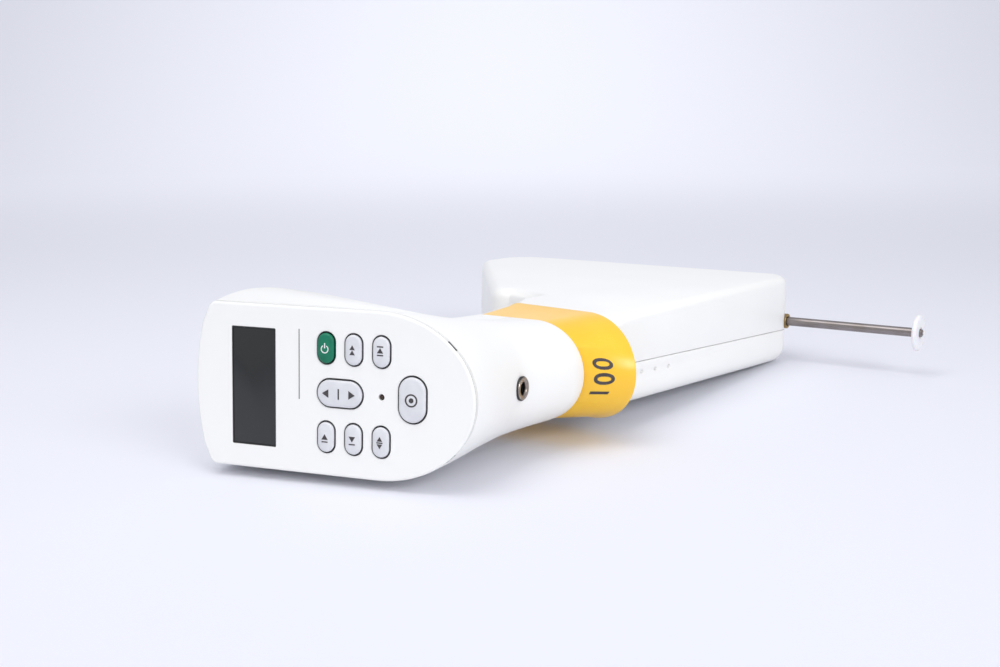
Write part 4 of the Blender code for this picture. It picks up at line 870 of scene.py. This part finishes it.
def make_display():
    """The window with its step, a dark sleeve on the walls of its recess that paints the shade there, the thin
    printed line and the lamp.
    """
    window = slab(display_outline(0.0036, 0.0006), -CASE_DEPTH - 0.0012, -CASE_DEPTH, 0.0002)
    step = slab(display_outline(-0.0009, 0.0003), -CASE_DEPTH - 0.0004, -0.00035, 0.0001)
    window = carve(window, step, "UNION")
    piece("display_glass", window, "display_glass", "housing", "display_window", "display_window",
          place=PANEL)
    # A dark sleeve on the recess walls round the display: painted shade in the recess, not a part of the pipette
    shade_lining = carve(slab(display_outline(-0.00006, 0.0004), -CASE_DEPTH, -0.00025),
                   slab(display_outline(-0.0008, 0.0003), -CUT_REACH, CUT_REACH))
    piece("display_recess_shade", shade_lining, "moulded_nylon", "housing", "display_window", place=PANEL)
    piece("panel_rule", stroke(-0.0287, 0.0085, 0.00028, 0.0226), "dark_ink", "housing", "panel",
          place=PANEL @ Matrix.Translation((0, 0, PLATE_TOP)))
    side = LAMP_RADIUS - 0.0002
    profile = [(0, -0.0003), (0.0004, -0.00035), (0.0007, -0.0005), (side, -0.0008), (side, -0.0040),
               (0, -0.0040)]
    piece("lamp_pipe", turned(profile, 32), "lamp_resin", "housing", "status_lamp", "status_lamp",
          place=PANEL)


def make_jack(place):
    """The socket's body with its bore, and the rounded metal lip round it."""
    barrel = JACK_RADIUS - JACK_STEP - GAP
    seat = GAP - JACK_STEP
    rim, lip, floor, bore, bore_end, root = 0.0006, 0.0034, -0.0005, 0.0018, -0.0074, -0.0078
    profile = [(barrel, seat), (JACK_RADIUS, seat), (JACK_RADIUS, rim - 0.0003),
               (JACK_RADIUS - 0.0001, rim - 0.0001), (JACK_RADIUS - 0.0003, rim), (lip + 0.0001, rim),
               (lip + 0.0001, floor), (bore, floor), (bore, bore_end), (0, bore_end), (0, root),
               (barrel, root)]
    piece("jack_body", turned(profile, closed=True), "moulded_nylon", "housing", "jack", "charge_jack",
          place=LYING @ place)
    inner, flange = 0.0021, 0.0038
    profile = [(lip - 0.0001, -0.0002), (lip - 0.0001, rim + 0.00002), (flange, rim + 0.00002),
               (flange, rim + 0.0001), (flange - 0.0002, rim + 0.0003), (inner + 0.0006, rim + 0.0003),
               (inner + 0.0002, rim + 0.0001), (inner, rim - 0.0003), (inner, -0.0002)]
    piece("jack_lip", turned(profile, closed=True), "plated_nickel", "housing", "steel", "jack_ring",
          place=LYING @ place)


# Collar

def hood_ring(front_x, back_x, front, back, half, nose, corner):
    """A ring of the collar, whose rim sweeps further down the pipette at the back."""
    depth, sweep = front + back, 2.2
    ring = []
    for a, z in shield(front, back, half, half, nose, corner, GRIP_CROWN):
        share = min(max((a + back) / depth, 0.0), 1.0)
        ring.append(Vector((back_x - (back_x - front_x) * share ** sweep, -a, z)))
    return ring


def collar_rings(inset, spare=0.0):
    """Rings of the collar from inside the grip, over its ledge, to its flared rim."""
    tuck, step = WALL + GAP + inset, 0.0005 + inset
    front_x = GRIP_END + HOOD_DROP
    rings = [hood_ring(x, x, GRIP_FRONT - tuck, GRIP_BACK - tuck, GRIP_HALF - tuck, GRIP_NOSE - tuck,
                       GRIP_CORNER - tuck / 2) for x in (COLLAR_START - spare, GRIP_END + GAP)]
    ledge = GRIP_END + GAP + 0.0001 + inset
    rings.append(hood_ring(ledge, ledge, GRIP_FRONT - step, GRIP_BACK - step, GRIP_HALF - step,
                           GRIP_NOSE - step, GRIP_CORNER - step))
    for shift, less_reach, less_width in ((-HOOD_LIP, 0.0028, 0.0006), (spare, 0.0, 0.0)):
        rings.append(hood_ring(front_x + shift, COLLAR_END + shift, HOOD_REACH - less_reach - inset,
                               COLLAR_BACK - less_width - inset, HOOD_HALF - inset - less_width,
                               RIM_NOSE - inset, GRIP_CORNER - inset))
    return rings


def make_collar():
    outer, inner = collar_rings(0.0), collar_rings(COLLAR_WALL)
    shell = skin(outer + inner[::-1] + outer[:1], low=False, high=False)
    bmesh.ops.remove_doubles(shell, verts=shell.verts, dist=SAME_PLACE)
    bmesh.ops.recalc_face_normals(shell, faces=shell.faces)
    soften(shell, lambda edge: edge.calc_face_angle(0) > math.radians(35)
           and all(vert.co.x > GRIP_END + 0.004 for vert in edge.verts), 2 * EDGE_ROUNDING, 3)
    collar = piece("collar_shell", shell, "dyed_polycarbonate", "housing", "collar", "volume_collar",
                   sharp=50)
    make_collar_number(collar)


def height_round_nose(reach):
    """The height of a point that lies a given way round the collar's elliptical nose."""
    deep, high = 0.0245, 0.0186
    step = math.radians(0.25)
    angle = covered = 0.0
    while covered < abs(reach):
        covered += math.hypot(deep * math.sin(angle), high * math.cos(angle)) * step
        angle += step
    return math.copysign(high * math.sin(angle), reach)


def make_collar_number(collar):
    """A plain number printed round the front of the collar."""
    text = bpy.data.curves.new("number", "FONT")
    text.body = "100"
    text.size = 0.0088
    text.offset = 0.00015
    text.space_character = 1.2
    text.align_x = "CENTER"
    text.align_y = "CENTER"
    lettering = bpy.data.objects.new("number", text)
    bpy.context.scene.collection.objects.link(lettering)
    bm = settled(lettering)
    slice_gap = 0.0006
    for axis, normal in enumerate(((1, 0, 0), (0, 1, 0))):
        reach = max(abs(vert.co[axis]) for vert in bm.verts)
        for i in range(int(-reach / slice_gap), int(reach / slice_gap) + 1):
            bmesh.ops.bisect_plane(bm, geom=bm.verts[:] + bm.edges[:] + bm.faces[:], dist=SAME_PLACE,
                                   plane_co=[c * i * slice_gap for c in normal], plane_no=normal)
    collar.data.calc_loop_triangles()
    skin_tree = BVHTree.FromPolygons([LYING.inverted() @ v.co for v in collar.data.vertices],
                                     [corners.vertices for corners in collar.data.loop_triangles])
    middle_x, middle_reach, lean, film = 0.0804, -0.0010, 0.64, 0.00005
    well_in_front = -0.1
    for vert in bm.verts:
        start = Vector((middle_x - vert.co.y * lean, well_in_front,
                        height_round_nose(middle_reach + vert.co.x)))
        place, normal, _, _ = skin_tree.ray_cast(start, Vector((0, 1, 0)))
        vert.co = place + normal * film
    bmesh.ops.recalc_face_normals(bm, faces=bm.faces)
    for face in bm.faces:
        if face.normal.y > 0:
            face.normal_flip()
    piece("collar_number", bm, "dark_ink", "housing", "collar")


# Lower housing

def housing_outline():
    """The lower housing's outline, counter-clockwise from under the collar."""
    end = MANIFOLD_END
    slope, slope_start, bend, crook = 124, 0.030, 0.012, 0.009
    points = [(HOUSING_START, -MANIFOLD_NEAR)]
    points += arc((end - NEAR_CORNER[0], NEAR_CORNER[1] - MANIFOLD_NEAR), NEAR_CORNER, -90, 0, 36)
    points += arc((end - FAR_CORNER, MANIFOLD_FAR - FAR_CORNER), (FAR_CORNER, FAR_CORNER), 0, 90, 24)
    points += arc((end - slope_start, MANIFOLD_FAR - bend), (bend, bend), 90, slope, 10)
    points += arc((SHOULDER_X + 0.0045, SHOULDER_Y - 0.0080), (crook, crook), slope, 205, 20)
    points += [(NECK_X, NECK_BACK), (HOUSING_START, NECK_BACK)]
    return points


def slant(bm, rise):
    """Slants a shell's flat side by an extra height at the tips, and its edge to the seam's line."""
    above_seam = 0.0025
    for vert in bm.verts:
        heights = (0.0, rise) if abs(vert.co.z) > above_seam else HOUSING_SEAM
        vert.co.z += along_housing(vert.co.x, heights)
    return bm


def neck_form(inset):
    """The room that the housing fills: the collar's section at its rim, wider and wider behind it."""
    front_x = GRIP_END + HOOD_DROP
    rings = []
    for step, growth in ((-SKIRT_REACH, -0.0004), (0.0, -0.0004), (0.004, 0.0001), (0.008, 0.0008),
                         (0.012, 0.0018), (0.0155, 0.0035), (0.0185, 0.0065), (0.0210, 0.0300),
                         (0.0230, 0.2000)):
        grown = growth - inset
        rings.append(hood_ring(front_x + step, COLLAR_END + step, HOOD_REACH + grown, COLLAR_BACK + grown,
                               HOOD_HALF + grown, RIM_NOSE + grown, GRIP_CORNER + grown))
    past_the_tips = Vector((0.4, 0, 0))
    rings.append([point + past_the_tips for point in rings[-1]])
    return skin(rings)


def shell_body(side):
    """One half of the lower housing, hollow and open at the seam."""
    outline = housing_outline()
    neck, tip = HOUSING_UPPER if side > 0 else HOUSING_LOWER
    rounding = UPPER_ROUNDING if side > 0 else LOWER_ROUNDING
    forms = [slab(outline, GAP / 2, neck, rounding, 10),
             slab(shrink(outline, HOUSING_WALL), -0.002, neck - HOUSING_WALL, rounding - HOUSING_WALL, 6)]
    for i, bm in enumerate(forms):
        slant(placed(bm, Matrix.Diagonal((1, 1, side, 1))), side * (tip - neck))
        bmesh.ops.recalc_face_normals(bm, faces=bm.faces)
        forms[i] = carve(bm, neck_form(i * HOUSING_WALL), "INTERSECT")
    return carve(*forms)


def collar_space():
    """The space that the collar's skirt takes from the lower housing."""
    rim = collar_rings(-2 * GAP, GAP)[-1]
    return skin([[point - Vector((SKIRT_REACH, 0, 0)) for point in rim], rim])


def nozzle_slot():
    """The slot that the nozzles move along, through the housing's tip side and the stripper bar."""
    reach = NOZZLE_RADIUS + 0.0006
    return box((MANIFOLD_END - 0.006, LAST_NOZZLE_Y - reach, -reach),
               (MANIFOLD_END + 0.020, FIRST_NOZZLE_Y + reach, reach))


def make_housing():
    """The two shells of the lower housing, with the holes for the rod, the nozzles and the screws."""
    exit_place = Matrix.Translation((ROD_X, ROD_EXIT_Y, ROD_Z)) @ Matrix.Rotation(math.pi / 2, 4, "X")
    for name, side in (("manifold_left_shell", 1), ("manifold_right_shell", -1)):
        shell = carve(shell_body(side), collar_space())
        exit_hole = placed(plug(ROD_HOLE_RADIUS, -0.008, 0.010, 48), exit_place)
        shell = carve(shell, join(nozzle_slot(), exit_hole))
        shell = carve(shell, under_openings() if side < 0 else vent_hole())
        soften(shell, sharper_than(50), EDGE_ROUNDING)
        piece(name + "_skin", shell, "moulded_abs", "housing", "white_housing", name)


def vent_hole():
    """A small hole through the near corner, above the rod."""
    spot, outwards = Vector((0.2610, -0.0293, 0.0158)), Vector((0.36, -0.93, 0))
    turn = Vector((0, 0, 1)).rotation_difference(outwards).to_matrix().to_4x4()
    return placed(plug(0.0010, -0.0040, 0.0020, 24), Matrix.Translation(spot) @ turn)


def under_openings():
    """Screw sinks, the yoke's slits and three small dimples by the seam."""
    tools = bmesh.new()
    for x, y in SCREW_PLACES:
        spot = Matrix.Translation((x, y, -along_housing(x, HOUSING_LOWER)))
        join(tools, placed(plug(SINK_RADIUS, -0.0020, 0.0030, 32), spot))
    slit_width, slit_low, slit_high = 0.0041, -0.0099, -0.0077
    for y in YOKE_SLITS:
        join(tools, box((MANIFOLD_END - 0.006, y, slit_low),
                        (MANIFOLD_END + 0.004, y + slit_width, slit_high)))
    for x, z in DIMPLES:
        dimple = turned([(0, -0.0018), (0.0006, -0.0017), (0.0007, 0), (0.0007, 0.001), (0, 0.001)], 24)
        turn = (Matrix.Translation((x, -MANIFOLD_NEAR, z)) @ Matrix.Rotation(math.pi / 2, 4, "X")
                @ Matrix.Diagonal((1.6, 1, 1, 1)))
        join(tools, placed(dimple, turn))
    return tools


# Rod, trigger, ejector and nozzles

def rod_frame(y):
    """A frame on the rod's line whose third axis points out of the housing's near side."""
    return LYING @ Matrix.Translation((ROD_X, y, ROD_Z)) @ Matrix.Rotation(math.pi / 2, 4, "X")


def make_rod():
    """The pull rod with its bushing, its knob and the screw that holds the knob."""
    low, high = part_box("spacing_rod")
    length = high.y - low.y
    edge = 0.0002
    profile = [(0, 0), (ROD_RADIUS - edge, 0), (ROD_RADIUS, edge), (ROD_RADIUS, length - edge),
               (ROD_RADIUS - edge, length), (0, length)]
    piece("pull_rod", turned(profile, 48), "ground_steel", "spacing_slide", "steel", "spacing_rod",
          place=rod_frame((LYING.inverted() @ high).y))
    bore = ROD_RADIUS + GAP
    outer = bore + 0.0011
    low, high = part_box("rod_bushing")
    depth = high.y - low.y
    profile = [(bore, 0.0), (bore + edge, 0.0), (outer - edge, 0.0), (outer, -edge), (outer, -depth),
               (bore, -depth)]
    piece("exit_bushing", turned(profile, 48, closed=True), "turned_brass", "housing", "brass",
          "rod_bushing", place=rod_frame((LYING.inverted() @ low).y))
    radius, thick, hub, rounding, dish = 0.0080, 0.0030, 0.0034, 0.0010, 0.0024
    profile = [(0, 0.0009), (bore, 0.0009), (bore, 0.0), (hub - edge, 0.0), (hub, edge),
               (hub + 0.0004, 0.0008), (radius * 0.8, 0.0010)]
    profile += [(radius - rounding + math.sin(a) * rounding, 0.0020 - math.cos(a) * rounding)
                for a in [math.pi * i / 8 for i in range(9)]]
    profile += [(radius * 0.55, thick), (dish + edge, thick), (dish, thick - 0.0004), (0, thick - 0.0004)]
    knob_place = rod_frame(KNOB_FACE_Y)
    piece("pull_knob", turned(profile, 96), "moulded_acetal", "spacing_slide", "knob", "rod_knob",
          place=knob_place)
    head_radius, slot_half = 0.0019, 0.00025
    profile = [(0, thick + 0.0010), (0.0010, thick + 0.0010), (0.0016, thick + 0.0007),
               (head_radius, thick - 0.0002), (head_radius, thick - 0.0003), (0, thick - 0.0003)]
    slot = box((-0.003, -slot_half, thick + 0.0005), (0.003, slot_half, thick + 0.002))
    piece("knob_screw_head", carve(turned(profile, 40), slot), "turned_steel", "spacing_slide", "screws",
          "knob_screw", place=knob_place)


def make_trigger():
    """The trigger's pad, with a domed outer side."""
    inner, outer, dome, rim = GRIP_BACK - WALL - 0.0053, GRIP_BACK + 0.0050, 0.0040, 0.0012
    half_length, half_width = TRIGGER_SIZE[0] / 2, TRIGGER_SIZE[1] / 2
    outline = [(TRIGGER_X - half_length, inner), (TRIGGER_X + half_length, inner)]
    outline += arc((TRIGGER_X, outer - dome), (half_length, dome), 0, 180, 28)
    body = slab(outline, -half_width, half_width, rim, 5, rim)
    piece("trigger_pad", body, "moulded_abs", "trigger", "white_housing", "trigger")


def make_slider():
    """The ejector's thumb pad with its ribs, and its foot, which reaches through the grip."""
    low, high = GRIP_END - 0.0210, GRIP_END - 0.0130
    overhang, dome, rim = 0.002, 0.0030, 0.0012
    seat, base = GRIP_BACK + 0.0012, GRIP_BACK + 0.0060 - dome
    middle, half = (low + high) / 2, (high - low) / 2 + overhang
    outline = [(low - overhang, seat), (high + overhang, seat)]
    outline += arc((middle, base), (half, dome), 0, 180, 28)
    body = slab(outline, -0.006, 0.006, rim, 5, rim)
    foot_end = high - 0.0001
    join(body, box((low, 0.0116, -0.0022), (foot_end, GRIP_BACK + 0.002, 0.0022)))
    join(body, box((low, 0.0106, -0.0108), (foot_end, 0.0146, 0.0018)))
    ribs, rib_height = 5, 0.0006
    for i in range(ribs):
        x = low + (high - low) * (i + 0.5) / ribs
        rib = slab(stadium((0.0084, 0.0007), 6), 0, rib_height, rib_height / 2, 3)
        top = base + dome * math.sqrt(1 - ((x - middle) / half) ** 2)
        turn = Matrix.Translation((x, top - rib_height / 2, 0)) @ Matrix.Rotation(-math.pi / 2, 4, "X")
        join(body, placed(rib, turn))
    piece("eject_pad", body, "moulded_abs", "tip_ejector", "white_housing", "eject_slider")


def nozzle_profile(length):
    """A nozzle's section from its tip back to its root, with two sealing grooves near the tip."""
    tip, widening, cone_length, groove_depth, bore = 0.0016, 0.0003, 0.0130, 0.00015, 0.0007
    cone = length - cone_length
    profile = [(tip, length)]
    for reach in (0.0030, 0.0050):
        middle = length - reach
        radius = tip + widening * reach / cone_length
        profile += [(radius, middle + 0.0004), (radius - groove_depth, middle + 0.0002),
                    (radius - groove_depth, middle - 0.0002), (radius, middle - 0.0004)]
    return profile + [(tip + widening, cone), (NOZZLE_RADIUS, cone - 0.0006), (NOZZLE_RADIUS, 0),
                      (bore, 0), (bore, length), (0.0012, length)]


def make_nozzles():
    root = MANIFOLD_END - 0.005 + GAP
    profile = nozzle_profile(MANIFOLD_END + 0.0220 - root)
    for i in range(8):
        y = FIRST_NOZZLE_Y - (FIRST_NOZZLE_Y - LAST_NOZZLE_Y) * i / 7
        number = str(i + 1)
        body = {0: "housing", 7: "spacing_slide"}.get(i, "channel_" + number)
        piece("nozzle_cone_" + number, turned(profile, 40, closed=True), "moulded_polypropylene", body,
              "nozzles", "nozzle_" + number,
              place=LYING @ Matrix.Translation((root, y, 0)) @ Matrix.Rotation(math.pi / 2, 4, "Y"))


def make_stripper():
    """The bar that pushes the tips off, with its slot for the nozzles."""
    low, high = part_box("stripper_bar")
    near, far = (LYING.inverted() @ low).y, (LYING.inverted() @ high).y
    height, corner, drop, thickness, rim = 0.0190, 0.003, 0.0035, 0.0036, 0.0010
    outline = moved(rounded_box((far - near, height), corner), (near + far) / 2, -drop)
    start = MANIFOLD_END + 0.0009
    facing_tips = Matrix(((0, 0, 1, 0), (1, 0, 0, 0), (0, 1, 0, 0), (0, 0, 0, 1)))
    bar = carve(placed(slab(outline, start, start + thickness, rim, 4), facing_tips), nozzle_slot())
    soften(bar, sharper_than(60), EDGE_ROUNDING)
    piece("stripper_plate", bar, "moulded_abs", "tip_ejector", "white_housing", "stripper_bar")


# The solids that keep their own meshes, most of them inside the shells, by their finish
HIDDEN = {
    "ground_steel": ["lead_screw", "piston_carrier", "guide_rail_upper", "guide_rail_lower",
                     "spacing_cam", "eject_rod", "eject_yoke"],
    "turned_steel": ["housing_screw_" + str(i + 1) for i in range(4)],
    "solder_mask": ["main_board", "trigger_switch"],
    "grey_silicone": ["keypad_mat"],
    "moulded_polypropylene": ["cylinder_block", "display_module"],
    "moulded_abs": ["carriage_" + str(i + 1) for i in range(8)] + ["neck_chassis"],
    "shrink_sleeve": ["battery_pack"],
    "drawn_aluminium": ["stepper_motor"],
}


def dress_hidden():
    """Gives those solids their finishes."""
    for finish, names in HIDDEN.items():
        for name in names:
            materials = frame["nodes"][name].data.materials
            materials.clear()
            materials.append(FINISHES[finish])


# Floor, lights and camera

def make_stage():
    """A pale floor that sweeps up into a backdrop behind the pipette, as the camera sees it."""
    near_edge, start, radius, height, half_width = -4.0, 1.6, 1.4, 4.0, 6.0
    bearing = math.radians(33.6)
    profile = [(near_edge, 0.0)]
    profile += [(x, z + radius) for x, z in arc((start, 0.0), (radius, radius), -90, 0, 24)]
    profile.append((start + radius, height))
    bm = bmesh.new()
    verts = [bm.verts.new((x, -half_width, z)) for x, z in profile]
    edges = [bm.edges.new(pair) for pair in zip(verts, verts[1:])]
    made = bmesh.ops.extrude_edge_only(bm, edges=edges)
    far_side = [v for v in made["geom"] if isinstance(v, bmesh.types.BMVert)]
    bmesh.ops.translate(bm, verts=far_side, vec=(0, 2 * half_width, 0))
    placed(bm, Matrix.Rotation(bearing, 4, "Z"))
    bmesh.ops.recalc_face_normals(bm, faces=bm.faces)
    sweep = as_object(bm, "paper_sweep")
    sweep.data.shade_smooth()
    # Seamless background paper: matt, pale and nearly even
    material, shader = surface("paper_sweep", "#E6E7EF", 0.75)
    grain(material, shader, 0.002, 0.00002)
    sweep.data.materials.append(material)


def make_light(name, size, power, place, aim, spread):
    lamp = bpy.data.lights.new(name, "AREA")
    lamp.shape = "RECTANGLE"
    lamp.size, lamp.size_y = size
    lamp.energy = power
    lamp.spread = math.radians(spread)
    obj = bpy.data.objects.new(name, lamp)
    bpy.context.scene.collection.objects.link(obj)
    obj.location = place
    obj.rotation_euler = (Vector(aim) - Vector(place)).to_track_quat("-Z", "Y").to_euler()


def make_world():
    world = bpy.data.worlds.new("studio")
    bpy.context.scene.world = world
    world.use_nodes = True
    background = world.node_tree.nodes["Background"]
    background.inputs["Color"].default_value = linear("#F6F7FB")
    background.inputs["Strength"].default_value = 0.70


def make_camera():
    """The camera, from its place, its bearing and its focal length in pixels."""
    place = Vector((-0.44810, -0.26537, 0.12229))
    bearing, dip, roll = (math.radians(angle) for angle in (-56.40, 10.27, -0.48))
    focal, width, sensor = 1309.9, 1000, 36.0
    look = Vector((-math.sin(bearing) * math.cos(dip), math.cos(bearing) * math.cos(dip), -math.sin(dip)))
    right = Vector((math.cos(bearing), math.sin(bearing), 0))
    up = right.cross(look)
    right, up = (right * math.cos(roll) + up * math.sin(roll), up * math.cos(roll) - right * math.sin(roll))
    lens = bpy.data.cameras.new("camera")
    lens.sensor_width = sensor
    lens.lens = focal / width * sensor
    lens.clip_start = 0.01
    camera = bpy.data.objects.new("camera", lens)
    bpy.context.scene.collection.objects.link(camera)
    camera.matrix_world = Matrix.Translation(place) @ Matrix((right, up, -look)).transposed().to_4x4()
    bpy.context.scene.camera = camera


def main():
    make_finishes()
    make_panel()
    make_keys()
    make_display()
    make_jack(make_covers())
    make_collar()
    make_housing()
    make_rod()
    make_trigger()
    make_slider()
    make_nozzles()
    make_stripper()
    dress_hidden()
    make_stage()
    make_world()
    for name, size, power, place, aim, spread in (
            ("key_light", (0.7, 0.7), 1.75, (-0.35, 0.08, 0.95), (-0.05, 0.02, 0), 115),
            ("front_light", (0.9, 0.5), 0.92, (-0.45, -1.10, 0.60), (0, 0, 0.02), 60),
            ("backdrop_light", (0.8, 0.8), 11.0, (1.1, 0.75, 1.6), (2.0, 1.35, 0.1), 150)):
        make_light(name, size, power, place, aim, spread)
    make_camera()
    bpy.context.scene.view_settings.view_transform = "Standard"


main()
